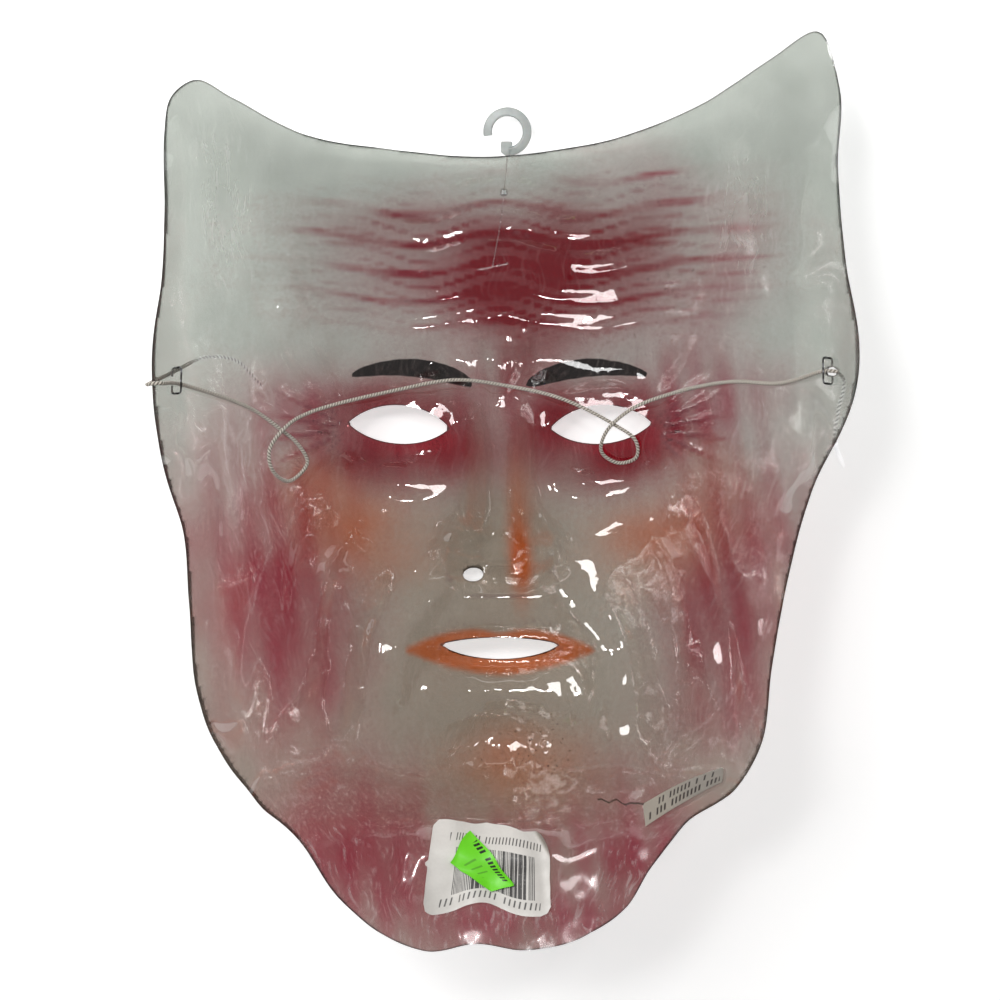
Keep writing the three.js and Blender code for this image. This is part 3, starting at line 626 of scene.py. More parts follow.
def set_plan(piece, values):
    """Stores two coordinates a point on a piece as the UV map "plan", for its material."""
    layer = piece.data.uv_layers.new(name="plan")
    corners = np.empty(len(piece.data.loops), np.int32)
    piece.data.loops.foreach_get("vertex_index", corners)
    layer.data.foreach_set("uv", np.ascontiguousarray(values[corners], np.float32).ravel())


def joined(parts):
    """Several parts of points and faces as one."""
    points = np.vstack([part[0] for part in parts])
    starts = np.cumsum([0] + [len(part[0]) for part in parts[:-1]])
    faces = [face + start for (_, part_faces), start in zip(parts, starts) for face in part_faces]
    return points, faces


def grid_quads(rows, columns, wrap=False):
    """Corners of the quads of a grid, row after row, closed round the columns if asked."""
    i, j = np.meshgrid(np.arange(columns if wrap else columns - 1), np.arange(rows - 1))
    ahead = (i + 1) % columns
    quads = (j * columns + i, j * columns + ahead, (j + 1) * columns + ahead, (j + 1) * columns + i)
    return np.stack(quads, -1).reshape(-1, 4)


def frames_along(path, first=(0.0, 0.0, 1.0)):
    """Two directions square to a path at each of its points, carried along it without twist: one
    guess is squared to every tangent, and then turned back by the sum of the angles through
    which it spins from point to point."""
    tangent = np.gradient(path, axis=0)
    tangent /= np.linalg.norm(tangent, axis=1, keepdims=True)
    side = np.asarray(first, float) - tangent * (tangent @ np.asarray(first, float))[:, None]
    side /= np.linalg.norm(side, axis=1, keepdims=True)
    across = np.cross(tangent, side)
    both = tangent[:-1] + tangent[1:]
    ahead = (side[:-1] * tangent[1:]).sum(1) / (1 + (tangent[:-1] * tangent[1:]).sum(1))
    moved = side[:-1] - ahead[:, None] * both
    spin = np.arctan2((moved * across[1:]).sum(1), (moved * side[1:]).sum(1))
    angle = np.concatenate([[0], np.cumsum(spin)])[:, None]
    cosine, sine = np.cos(angle), np.sin(angle)
    return cosine * side + sine * across, cosine * across - sine * side


def swept(path, outline, first=(0.0, 0.0, 1.0)):
    """A solid rod: at each point of the path a ring of offsets along the two carried directions,
    joined to the next ring, and a fan over each end."""
    one, other = frames_along(path, first)
    outline = np.broadcast_to(outline, (len(path), *np.shape(outline)[-2:]))
    rings = path[:, None] + outline[..., :1] * one[:, None] + outline[..., 1:] * other[:, None]
    rows, columns = rings.shape[:2]
    points = np.vstack([rings.reshape(-1, 3), rings[0].mean(0), rings[-1].mean(0)])
    around = np.arange(columns)
    ahead = (around + 1) % columns
    last = (rows - 1) * columns
    start = np.stack([np.full(columns, rows * columns), ahead, around], -1)
    end = np.stack([np.full(columns, rows * columns + 1), last + around, last + ahead], -1)
    return points, [grid_quads(rows, columns, wrap=True), start, end]


def ring_of(count, half_a, half_b, power=1.0):
    """Offsets around a rounded section: an ellipse, squarer as the power falls below one."""
    angle = np.arange(count) * 2 * np.pi / count
    ring = [np.sign(f) * np.abs(f) ** power for f in (np.cos(angle), np.sin(angle))]
    return np.stack([ring[0] * half_a, ring[1] * half_b], -1)


def cut_plan(distance, low, high, step):
    """Points and triangles of a flat plan shape, cut exactly along its edge. A grid is laid over
    it, grid points close to the edge are moved onto it, each cell gives two triangles, and those
    that the edge crosses are cut where the signed distance passes through zero."""
    xs = np.arange(low[0] - step, high[0] + 2 * step, step)
    ys = np.arange(low[1] - step, high[1] + 2 * step, step)
    x, y = (part.ravel() for part in np.meshgrid(xs, ys))
    gap = distance(x, y)
    near = np.abs(gap) < 0.36 * step
    for _ in range(2):
        reach = 0.02 * step
        push_x = (distance(x[near] + reach, y[near]) - distance(x[near] - reach, y[near]))
        push_y = (distance(x[near], y[near] + reach) - distance(x[near], y[near] - reach))
        size = np.maximum(np.hypot(push_x, push_y), 1e-9)
        off = distance(x[near], y[near])
        x[near] -= off * push_x / size
        y[near] -= off * push_y / size
    gap[near] = 0
    quads = grid_quads(len(ys), len(xs))
    odd = ((quads[:, 0] % len(xs)) + quads[:, 0] // len(xs)) % 2 == 1
    quads[odd] = np.roll(quads[odd], 1, axis=1)
    triangles = np.vstack([quads[:, [0, 1, 2]], quads[:, [0, 2, 3]]])
    inside = gap[triangles] <= 0
    touched = (gap[triangles] < 0).any(1)
    triangles, inside = triangles[touched], inside[touched]
    whole = triangles[inside.all(1)]
    split, kept = triangles[~inside.all(1)], inside[~inside.all(1)]
    lone = np.where(kept.sum(1) == 1, kept.argmax(1), (~kept).argmax(1))
    split = np.take_along_axis(split, (lone[:, None] + np.arange(3)) % 3, axis=1)
    lone_kept = kept.sum(1) == 1
    ends = np.stack([split[:, [0, 1]], split[:, [0, 2]]], 1).reshape(-1, 2)
    keys, index = np.unique(np.sort(ends, axis=1), axis=0, return_inverse=True)
    a, b = keys.T
    share = np.where(gap[a] == gap[b], 0.5, gap[a] / np.where(gap[a] == gap[b], 1, gap[a] - gap[b]))
    cut = np.where(gap[a] == 0, a, np.where(gap[b] == 0, b, len(x) + np.arange(len(keys))))
    x = np.concatenate([x, x[a] + share * (x[b] - x[a])])
    y = np.concatenate([y, y[a] + share * (y[b] - y[a])])
    first, second = cut[index.reshape(-1)].reshape(-1, 2).T
    tip = np.stack([split[:, 0], first, second], -1)[lone_kept]
    base = ~lone_kept
    upper = np.stack([split[:, 1], split[:, 2], first], -1)[base]
    lower = np.stack([split[:, 2], second, first], -1)[base]
    triangles = np.vstack([whole, tip, upper, lower])
    corners = [triangles[:, 0] != triangles[:, 1], triangles[:, 1] != triangles[:, 2],
               triangles[:, 2] != triangles[:, 0]]
    triangles = triangles[np.logical_and.reduce(corners)]
    used, flat = np.unique(triangles, return_inverse=True)
    return x[used], y[used], flat.reshape(-1, 3)


def thick_sheet(triangles, upper, lower):
    """A closed sheet between an upper and a lower face that share a plan: both faces, and a quad
    under each edge that only one triangle has."""
    count = len(upper)
    edges = np.vstack([triangles[:, [0, 1]], triangles[:, [1, 2]], triangles[:, [2, 0]]])
    code = edges[:, 0] * count + edges[:, 1]
    back = edges[:, 1] * count + edges[:, 0]
    rim = edges[~np.isin(code, back)]
    wall = np.stack([rim[:, 1], rim[:, 0], rim[:, 0] + count, rim[:, 1] + count], -1)
    return np.vstack([upper, lower]), [triangles, triangles[:, ::-1] + count, wall]


def add_node(tree, kind, inputs=(), output=0, **values):
    """Adds a shader node, sets its properties, and fills its inputs, in their order from a tuple
    or by name from a dict, with plain values or links. Returns an output by number or name."""
    node = tree.nodes.new("ShaderNode" + kind)
    for name, value in values.items():
        setattr(node, name, value)
    sockets = [socket for socket in node.inputs if socket.enabled]
    named = {socket.name: socket for socket in reversed(sockets)}
    pairs = inputs.items() if isinstance(inputs, dict) else zip(sockets, inputs)
    for key, value in pairs:
        socket = named[key] if isinstance(key, str) else key
        if isinstance(value, bpy.types.NodeSocket):
            tree.links.new(value, socket)
        else:
            socket.default_value = value
    outputs = [socket for socket in node.outputs if socket.enabled]
    if isinstance(output, str):
        return next(socket for socket in outputs if socket.name == output)
    return outputs[output] if outputs else None


def new_material(name):
    """An empty material, add_node bound to its tree, and its object coordinates."""
    material = bpy.data.materials.new(name)
    material.use_nodes = True
    material.node_tree.nodes.clear()
    add = partial(add_node, material.node_tree)
    return material, add, add("TexCoord", output="Object")


# Airbrushed zones: x, y, half widths, turn in degrees, strength.
ROSE = (
    (EYE_X, -2, 27, 15, 4, 0.98), (-EYE_X, -2, 27, 15, -4, 0.98), (60, 6, 18, 11, 18, 0.7),
    (-58, 5, 15, 10, -18, 0.5), (6, 44, 50, 19, 0, 0.78), (-20, 60, 26, 6, -2, 0.35),
    (62, 34, 9, 30, -26, 0.55), (46, 72, 20, 10, -30, 0.4), (68, -48, 17, 34, 4, 0.85),
    (-66, -50, 19, 36, -4, 0.88), (-56, -78, 14, 18, -20, 0.45), (-70, -26, 10, 22, 14, 0.45),
    (62, -84, 14, 20, 10, 0.4), (-46, -126, 24, 22, -24, 0.9), (0, -146, 44, 13, 0, 0.85),
    (40, -126, 18, 20, 12, 0.85), (0, -124, 40, 8, 0, 0.5), (0, 10, 15, 16, 0, 0.35),
    (84, -30, 9, 30, 0, 0.3), (-86, -34, 8, 30, 0, 0.35),
)
CORE = ((8, 46, 30, 22, 0, 1.0),)
RED = (
    (17, 46, 24, 18, 0, 1.0), (2, 44, 44, 13, 0, 0.5), (5, 26, 8, 16, 0, 0.8),
    (-20, 59, 34, 7, -3, 0.5), (42, 57, 22, 9, -6, 0.5), (-63, -50, 15, 28, 8, 0.5),
    (67, -50, 13, 28, -6, 0.5), (38, -133, 6, 12, 10, 0.4), (-42, -124, 20, 14, -20, 0.4),
)
ORANGE = (
    (-43, -33, 17, 12, -20, 0.75), (49, -34, 19, 12, 18, 0.7), (6, -30, 3.4, 18, 2, 0.7),
    (6.5, -42, 2.6, 9, 2, 1.0), (5, -104, 18, 10, 0, 0.55), (-56, -16, 10, 8, -10, 0.4),
    (62, -14, 10, 9, 10, 0.3),
)
FLESH = (
    (0, -32, 34, 40, 0, 0.75), (0, -74, 60, 30, 0, 0.6), (0, -110, 70, 30, 0, 0.75),
    (0, -145, 50, 30, 0, 0.6), (-60, -60, 40, 60, 0, 0.45), (66, -60, 34, 60, 0, 0.2),
)

# Zones that are rubbed white, and zones with specks of dirt.
RUBBED = (
    (-80, 62, 9, 24, 6, 0.9), (71, 60, 9, 20, 0, 0.9), (-72, -20, 8, 30, 10, 0.5),
    (72, -12, 9, 26, -8, 0.45), (-50, -126, 22, 16, 0, 0.6), (70, -88, 9, 14, 20, 0.5),
    (0, -146, 40, 13, 0, 0.7), (42, -130, 18, 16, 0, 0.65),
)
SPECKS = ((14, -100, 12, 9, 0, 1.0), (-4, -104, 10, 6, 0, 0.6), (46, 40, 20, 30, 0, 0.4))

# The lips' paint: half width and height, rise of their ends, dip of the upper one's middle.
LIPS = dict(half_width=30, half_height=7.2, rise=1.6, dip=1.4)

# A short crack at the jaw: first and last x, y, half width, how far it wanders.
CRACK = dict(first=29.5, last=43.5, y=-113.5, half_width=0.12, wander=2.8)


def sprayed(x, y, zones):
    """Cover of the sprayed zones: one minus the product of what each bell-shaped one leaves."""
    bare = np.ones_like(x)
    for cx, cy, half_x, half_y, turn, strength in zones:
        u, v = turned(x - cx, y - cy, turn)
        bare = bare * (1 - strength * np.exp(-((u / half_x) ** 2 + (v / half_y) ** 2) / 1.2))
    return 1 - bare


def paint_cover(x, y):
    """Cover of each paint at points of the plan. The rose and red gather along the forehead's
    lines and in long soft streaks on the cheeks, the lips and brows follow their own outlines."""
    cloud = waves(x, y, 30, 26, 32)
    streaks = waves(x + 0.12 * y, y, 9, 60, 31)
    forehead = smooth(y, 16, 30)
    lines = np.zeros_like(x)
    for rows, share in ((FOREHEAD_LINES, 1.0), (FINE_LINES, 0.6)):
        rows = {**rows, "height": 1.0, "side": 90, "high": 84}
        lines = lines + share * smooth(-brow_lines(x, y, **rows), 0.08, 0.42)
    lines = lines * (0.75 + 0.35 * waves(x, y, 26, 9, 34))
    uneven = (1 - forehead) * 0.16 * streaks + 0.12 * cloud
    wash = 1 + uneven - 0.3 * forehead * (1 - sprayed(x, y, CORE))
    rose = sprayed(x, y, ROSE) * (wash + 1.1 * forehead * lines)
    red = sprayed(x, y, RED) * (wash + 0.8 * forehead * lines)
    reach = ((np.abs(x) - EYE_X) / 27) ** 2 + ((y + 2) / 17) ** 2
    red = np.maximum(red, 0.92 * np.exp(-reach ** 2) * (1 + 0.2 * cloud))
    fan = smooth(-eye_fan(x, y) / EYE_FAN["height"], 0.1, 0.8)
    rose = np.maximum(rose, 0.9 * fan)
    red = np.maximum(red, 0.3 * fan)
    orange = sprayed(x, y, ORANGE) * (1 + 0.15 * cloud)
    across = np.minimum(np.abs(x) / LIPS["half_width"], 1)
    bow = LIPS["rise"] * (1 - across) + LIPS["dip"] * np.exp(-((x / 5) ** 2)) * (y > MOUTH)
    lips = np.abs(y - MOUTH - 0.4 + bow) - LIPS["half_height"] * (1 - across ** 2.2)
    lips = (1 - smooth(lips, -1.2, 1.2)) * smooth(1 - across, 0, 0.06)
    orange = np.maximum(orange, 0.95 * lips * (1 + 0.06 * streaks))
    arch = BROW + 2.4 - 0.011 * (np.abs(x) - 30) ** 2
    swell = np.clip(1 - ((np.abs(x) - 27) / 19) ** 4, 0, 1) ** 0.5
    half = 3.1 * swell * (1 - 0.35 * smooth(np.abs(x), 22, 46))
    brown = half - np.abs(y - arch) + 0.1 * waves(x, y, 5, 3, 33) - 0.8 * (half < 0.1)
    # The hollows say how sharply the face folds in; the material paints shade into its creases by
    # them.
    return {
        "flesh": sprayed(x, y, FLESH), "rose": rose * (1 - 0.7 * lips), "orange": orange,
        "red": red, "brown": brown, "rubbed": sprayed(x, y, RUBBED),
        "specks": sprayed(x, y, SPECKS), "hollows": hollows(x, y),
    }


def hollows(x, y, reach=0.9):
    """How sharply the outer face is folded in at a point, from 0 to 1: the sum of the depth's
    second differences along both axes, which sets the painted shade in the creases."""
    sides = sheet_depth(x + reach, y) + sheet_depth(x - reach, y)
    sides = sides + sheet_depth(x, y + reach) + sheet_depth(x, y - reach)
    return smooth((sides - 4 * sheet_depth(x, y)) / reach ** 2, 0.45, 1.8)


SMOOTHSTEP = {"interpolation_type": "SMOOTHSTEP"}
MULTIPLY = {"operation": "MULTIPLY"}
MULTIPLY_ADD = {"operation": "MULTIPLY_ADD"}
COLOUR = {"data_type": "RGBA"}


# Sizes of the patterns on the sheet and how far its scuffs sway, in metres, and the paints in the
# order they are sprayed, each with the most that it covers.
CLOUD_SIZE, GRAIN_SIZE, SWAY = 0.014, 0.0011, 0.012
SCUFF_SIZE = (0.0012, 0.012, 0.0012)
PAINTS = {"flesh": 0.88, "rose": 0.94, "orange": 0.95, "red": 0.97}


def sheet_material(colours):
    """Vacuum-formed clear vinyl, airbrushed: a glassy skin over a slightly cloudy body. The haze
    and paint scatter some light and the rest goes through, tinted; the skin gives sharp glints.
    The cut edge is painted dark as shade where it bends light away, and the creases are painted
    darker as shade. Patches are rubbed white and dull, and a few specks of dirt and one short
    crack show dark."""
    material, add, place = new_material("airbrushed_clear_vinyl")
    stored = {
        name: add("Attribute", output="Fac", attribute_name=name)
        for name in (*PAINTS, "hollows", "rubbed", "brown", "specks", "edge")
    }
    cloud = add("TexNoise", {"Vector": place, "Scale": 1 / CLOUD_SIZE, "Detail": 1.0})
    grain = add("TexNoise", {"Vector": place, "Scale": 1 / GRAIN_SIZE, "Detail": 1.0})
    bent = add("VectorMath", (cloud, (SWAY, SWAY, 0.0), place), **MULTIPLY_ADD)
    drawn = add("Mapping", {"Vector": bent, "Scale": [1 / size for size in SCUFF_SIZE]})
    scuff = add("TexNoise", {"Vector": drawn, "Scale": 1.0, "Detail": 2.0})
    colour = add("Mix", (cloud, colours.plastic, linear("#cfd4cd")), **COLOUR)
    uneven = add("Math", (grain, 0.14, -0.12), **MULTIPLY_ADD)
    uneven = add("Math", (cloud, 0.1, uneven), **MULTIPLY_ADD)
    for name, most in PAINTS.items():
        share = add("MapRange", (add("Math", (stored[name], uneven)), 0.03, 1.0, 0.0, most))
        colour = add("Mix", (share, colour, getattr(colours, name)), **COLOUR)
    # Painted shade: the creases are darkened by how sharply they fold in, where shade would fall.
    painted_crease_shade = add("Math", (stored["hollows"], 0.42), **MULTIPLY)
    colour = add("Mix", (painted_crease_shade, colour, linear("#6a3a42")), **COLOUR)
    rubbed = add("Math", (stored["rubbed"], 0.34, 0.05), **MULTIPLY_ADD)
    rubbed = add("Math", (add("MapRange", (scuff, 0.52, 0.72), **SMOOTHSTEP), rubbed), **MULTIPLY)
    colour = add("Mix", (rubbed, colour, linear("#e9e7e4")), **COLOUR)
    brow = add("MapRange", (stored["brown"], -0.1, 0.35), **SMOOTHSTEP)
    brow = add("Math", (brow, add("MapRange", (scuff, 0.5, 0.8, 0.98, 0.8))), **MULTIPLY)
    colour = add("Mix", (brow, colour, colours.brown), **COLOUR)
    speck = add("MapRange", (grain, 0.69, 0.74))
    speck = add("Math", (speck, stored["specks"]), **MULTIPLY)
    plan = add("UVMap", uv_map="plan")
    x, y = add("SeparateXYZ", (plan,), output=slice(0, 2))
    wander = add("TexNoise", (x, 0.22, 1.2), noise_dimensions="1D")
    wander = add("Math", (wander, -CRACK["wander"], y), **MULTIPLY_ADD)
    level = CRACK["y"] - CRACK["wander"] / 2
    crack = add("Math", (wander, level, CRACK["half_width"]), operation="COMPARE")
    middle, half = (CRACK["first"] + CRACK["last"]) / 2, (CRACK["last"] - CRACK["first"]) / 2
    inside = add("Math", (x, middle, half), operation="COMPARE")
    speck = add("Math", (speck, add("Math", (crack, inside), **MULTIPLY)), operation="MAXIMUM")
    colour = add("Mix", (speck, colour, linear("#241c16")), **COLOUR)
    # Painted shade: a dark line along the cut edges, where the sheet bends light away.
    edge = add("MapRange", (stored["edge"], 0.15, 0.5, 0.6, 0.0), **SMOOTHSTEP)
    colour = add("Mix", (edge, colour, linear("#47403f")), **COLOUR)
    dull = add("Math", (stored["rubbed"], 0.24, 0.07), **MULTIPLY_ADD)
    gloss = add("MapRange", (stored["rubbed"], 0.1, 0.6, 1.0, 0.1))
    shader = add("BsdfPrincipled", {
        "Base Color": colour, "IOR": 1.53, "Transmission Weight": 0.84,
        "Roughness": add("Math", (rubbed, 0.4, dull), **MULTIPLY_ADD),
        "Coat Weight": gloss, "Coat Roughness": 0.03, "Coat IOR": 1.5,
    })
    add("OutputMaterial", (shader,))
    return material


def elastic_material(colours):
    """Braided cotton-covered elastic: matt threads with painted shade in the gaps between their
    ridges. The loose plies of the tails and the pressed tip are given a painted glow, a little
    light of their own, so that they show pale."""
    material, add, place = new_material("braided_cotton_elastic")
    thread = add("TexNoise", {"Vector": place, "Scale": 1 / 0.0005, "Detail": 3.0})
    ridge = add("Attribute", output="Fac", attribute_name="ridge")
    # Painted shade: the stored shade darkens the gaps between the ribs and plies.
    shade = add("Math", (thread, 0.7, add("Math", (ridge, -0.38))), **MULTIPLY_ADD)
    share = add("MapRange", (shade, 0.0, 0.9))
    shader = add("BsdfPrincipled", {
        "Base Color": add("Mix", (share, linear("#4a4339"), colours.elastic), **COLOUR),
        "Roughness": 0.85, "Sheen Weight": 0.25, "Sheen Roughness": 0.4,
        # Painted light: the tails and the pressed tip glow though they are no lamp.
        "Emission Color": linear("#f6f7ff"),
        "Emission Strength": add("Attribute", output="Fac", attribute_name="bleached"),
        "Normal": add("Bump", {"Height": thread, "Distance": 0.0001, "Strength": 0.6}),
    })
    add("OutputMaterial", (shader,))
    return material


def wire_material():
    """Drawn steel wire: smooth grey metal with darker, duller stretches where it has tarnished."""
    material, add, place = new_material("drawn_steel_wire")
    dull = add("TexNoise", {"Vector": place, "Scale": 1 / 0.0012, "Detail": 3.0})
    tarnish = add("MapRange", (dull, 0.36, 0.6), **SMOOTHSTEP)
    shader = add("BsdfPrincipled", {
        "Base Color": add("Mix", (tarnish, linear("#77777a"), linear("#2c2927")), **COLOUR),
        "Metallic": 1.0, "Roughness": add("MapRange", (dull, 0.3, 0.7, 0.22, 0.5)),
        "Normal": add("Bump", {"Height": dull, "Distance": 0.00005, "Strength": 0.5}),
    })
    add("OutputMaterial", (shader,))
    return material


def hook_material():
    """Moulded natural polyethylene of the ring and block: milky and waxy, frosted all over."""
    material, add, place = new_material("natural_polyethylene")
    cloud = add("TexNoise", {"Vector": place, "Scale": 1 / 0.0022, "Detail": 3.0})
    shader = add("BsdfPrincipled", {
        "Base Color": add("Mix", (cloud, linear("#b4bab7"), linear("#d9dddb")), **COLOUR),
        "Roughness": 0.42, "IOR": 1.51,
        "Transmission Weight": 0.45, "Subsurface Weight": 0.1, "Subsurface Scale": 0.002,
        "Normal": add("Bump", {"Height": cloud, "Distance": 0.0001, "Strength": 0.4}),
    })
    add("OutputMaterial", (shader,))
    return material


def filament_material():
    """Drawn nylon of the stem and bar: clear, so that it shows mostly by its glints."""
    material, add, place = new_material("clear_nylon_filament")
    drawn = add("TexNoise", {"Vector": place, "Scale": 1 / 0.0016, "Detail": 2.0})
    shader = add("BsdfPrincipled", {
        "Base Color": linear("#efe4e4"), "Roughness": add("MapRange", (drawn, 0.3, 0.7, 0.06, 0.3)),
        "IOR": 1.53, "Transmission Weight": 0.9,
    })
    add("OutputMaterial", (shader,))
    return material


def strokes(add, s, t, left, right, low, high, pitch, half, lean, filled, strength):
    """Strokes along a row, which form no letters and code nothing: each cell of the row has one
    stroke of the row's own lean, or none. A half width of half a cell gives plain stripes."""
    place = add("Math", (s, pitch), operation="DIVIDE")
    cell = add("Math", (place,), operation="FLOOR")
    present = add("TexWhiteNoise", (cell,), noise_dimensions="1D")
    present = add("Math", (present, filled), operation="LESS_THAN")
    height = add("MapRange", (t, low, high, -0.5, 0.5))
    middle = add("Math", (height, lean, add("Math", (cell, 0.5))), **MULTIPLY_ADD)
    away = add("Math", (place, middle), operation="SUBTRACT")
    away = add("Math", (away,), operation="ABSOLUTE")
    ink = add("MapRange", (away, half - 0.06, half + 0.06, strength, 0.0))
    for value, first, last in ((s, left, right), (t, low, high)):
        rise = add("MapRange", (value, first - PRINT_BLUR, first + PRINT_BLUR))
        fall = add("MapRange", (value, last - PRINT_BLUR, last + PRINT_BLUR, 1.0, 0.0))
        ink = add("Math", (ink, add("Math", (rise, fall), **MULTIPLY)), **MULTIPLY)
    return add("Math", (ink, present), **MULTIPLY)


# Rows of printed strokes in a label's own plan, in millimetres: left, right, low, high, pitch,
# half width of a stroke as a share of the pitch, lean, share of cells that have one, strength.
PRINT_BLUR = 0.07
PAPER_ROWS = (
    (7.5, 33.5, 5.2, 18.8, 0.5, 0.25, 0.0, 0.84, 0.95),
    (7.5, 33.5, 5.2, 18.8, 1.3, 0.3, 0.0, 0.4, 0.95),
    (6, 36.5, 20.6, 22.7, 1.1, 0.16, 0.3, 0.86, 0.95),
    (5, 35.5, 2.1, 4.4, 1.5, 0.15, 0.25, 0.88, 0.9),
)
STICKER_ROWS = (
    (2.5, 14.8, 8.0, 9.8, 0.95, 0.3, 0.5, 0.9, 1.0),
    (4.2, 10.6, 2.6, 6.0, 2.0, 0.12, 0.35, 1.0, 0.45),
)
STRIP_ROWS = (
    (2.6, 25, 3.2, 4.7, 1.25, 0.22, 0.35, 0.72, 0.95),
    (1.4, 25.4, 0.9, 2.5, 1.3, 0.24, 0.3, 0.85, 0.95),
)


def printed_material(name, colour, faded_and_shade_colour, ink_colour, rows, roughness, transmission):
    """Printed stock of a label: fibre mottling, painted shade on a corner rolled past its fold and
    fading where its attribute says, and rows of slightly uneven strokes."""
    material, add, place = new_material(name)
    s, t = add("SeparateXYZ", (add("UVMap", uv_map="plan"),), output=slice(0, 2))
    ink = 0.0
    for row in rows:
        ink = add("Math", (strokes(add, s, t, *row), ink), operation="MAXIMUM")
    fibre = add("TexNoise", {"Vector": place, "Scale": 1 / 0.0009, "Detail": 4.0})
    ink = add("Math", (ink, add("MapRange", (fibre, 0.25, 0.4, 0.75, 1.0))), **MULTIPLY)
    soiled = add("Attribute", output="Fac", attribute_name="soiled")
    soiled = add("Math", (fibre, 0.16, soiled), **MULTIPLY_ADD)
    # Mixes in the painted shade of the rolled corner and the faded colour.
    base = add("Mix", (soiled, colour, faded_and_shade_colour), **COLOUR)
    shader = add("BsdfPrincipled", {
        "Base Color": add("Mix", (ink, base, ink_colour), **COLOUR), "Roughness": roughness,
        "Transmission Weight": transmission, "Coat Weight": 0.15, "Coat Roughness": 0.25,
        "Normal": add("Bump", {"Height": fibre, "Distance": 0.00008, "Strength": 0.5}),
    })
    add("OutputMaterial", (shader,))
    return material


class MESH_OT_mask_sheet(bpy.types.Operator):
    """Makes the formed, trimmed and airbrushed sheet."""

    bl_idname = "mesh.mask_sheet"
    bl_label = "Mask sheet"

    def execute(self, context):
        sheet, colours, _, _ = settings()
        trim = np.array(TRIM)
        x, y, triangles = cut_plan(sheet_distance, trim.min(0), trim.max(0), sheet.cell / MM)
        along_x, along_y = slopes_of(sheet_depth, x, y)
        outer = sheet_depth(x, y)
        inner = outer - sheet.thickness / MM * np.sqrt(1 + along_x ** 2 + along_y ** 2)
        upper, lower = (laid(np.stack([x, y, -depth], -1)) for depth in (inner, outer))
        points, faces = thick_sheet(triangles, upper, lower)
        piece = new_piece(
            "formed_sheet", points, faces, sheet_material(colours),
            ["mask_shell"], sharp=70,
        )
        for name, cover in paint_cover(x, y).items():
            set_attribute(piece, name, np.tile(cover, 2))
        # Distance to the cut edges, for the painted shade along them.
        set_attribute(piece, "edge", np.tile(np.clip(-sheet_distance(x, y), 0, 3), 2))
        set_plan(piece, np.tile(np.stack([x, y], -1), (2, 1)))
        return {"FINISHED"}


class MESH_OT_mask_cord(bpy.types.Operator):
    """Makes the braided elastic, with twisted tails, along its route."""

    bl_idname = "mesh.mask_cord"
    bl_label = "Elastic"

    def execute(self, context):
        _, colours, fittings, _ = settings()
        route = curve_through(above_sheet(CORD_ROUTE), 24)
        line, reach = even_steps(route, CORD_STEP)
        bend = np.linalg.norm(np.gradient(np.gradient(line, reach, axis=0), reach, axis=0), axis=1)
        looped = smooth(np.convolve(bend, np.ones(29) / 29, "same"), 0.03, 0.12)[:, None]
        left, to_end = reach[:, None], (reach[-1] - reach)[:, None]
        tail = 1 - smooth(left, *START_TAIL) * smooth(to_end, *END_TAIL)
        tip = 1 - smooth(to_end, *PRESSED_TIP)
        angle = np.arange(CORD_SIDES) * 2 * np.pi / CORD_SIDES
        ribs = 0.5 + 0.5 * np.cos(2 * np.pi * left / BRAID_PITCH + 2 * angle)
        plies = np.abs(np.cos(angle - 2 * np.pi * left / TWIST_PITCH))
        twist = tail * (1 - tip)
        ridge = (1 - tail) * ribs + twist * plies + 0.75 * tail * tip
        depth = (1 - tail) * (0.16 + 0.05 * looped) + twist * 0.45 + 0.1 * tail * tip
        radius = fittings.cord / 2 * (1 - depth * (1 - ridge))
        radius = radius * np.sqrt(np.clip(np.minimum(left / 0.5, to_end / 3) + 0.04, 0, 1))
        outline = np.stack([radius * np.cos(angle), radius * np.sin(angle)], -1)
        points, faces = swept(laid(line), outline)
        piece = new_piece(
            "braided_elastic", points, faces, elastic_material(colours),
            ["elastic_cord"],
        )
        # Painted shade for the gaps between the ribs and the twisted plies, kept for the material.
        shade = 1 - (1 - ridge) * ((1 - tail) * (0.9 + 0.1 * looped) + tail)
        set_attribute(piece, "ridge", np.concatenate([shade.ravel(), [0.5, 0.5]]))
        # Painted light: the twisted tails and the pressed tip glow a little, so that they show
        # pale.
        bleached = np.broadcast_to(1.3 * twist + 0.9 * tail * tip, radius.shape) * ridge
        set_attribute(piece, "bleached", np.concatenate([bleached.ravel(), [0, 0]]))
        return {"FINISHED"}


class MESH_OT_mask_staples(bpy.types.Operator):
    """Makes both staples: a crown in the hollow and clinched ends on the outer side."""

    bl_idname = "mesh.mask_staples"
    bl_label = "Staples"

    def execute(self, context):
        sheet, _, fittings, _ = settings()
        half, corner = STAPLE["crown"] / 2, STAPLE["crown"] / 2 * 0.9
        below = -sheet.thickness / MM - STAPLE["drop"]
        leg = [
            (-STAPLE["end"], below - 0.1), (-corner, below), (-half, below + 0.6), (-half, 0),
            (-half, STAPLE["rise"] - 0.5), (-corner, STAPLE["rise"]),
        ]
        profile = [*leg, (0, STAPLE["rise"] + 0.1), *[(-t, n) for t, n in reversed(leg)]]
        line = curve_through(profile, 8)
        material = wire_material()
        for name, (x, y) in STAPLE_PLACES.items():
            point, normal, up = frame_at(np.float64(x), np.float64(y))
            path = laid(point + line[:, :1] * up + line[:, 1:] * normal)
            wire = ring_of(12, fittings.wire / 2, fittings.wire * 0.42, 0.8)
            points, faces = swept(path, wire, first=(1.0, 0.0, 0.0))
            new_piece(name.replace("staple", "wire_staple"), points, faces,
                      material, [name])
        return {"FINISHED"}


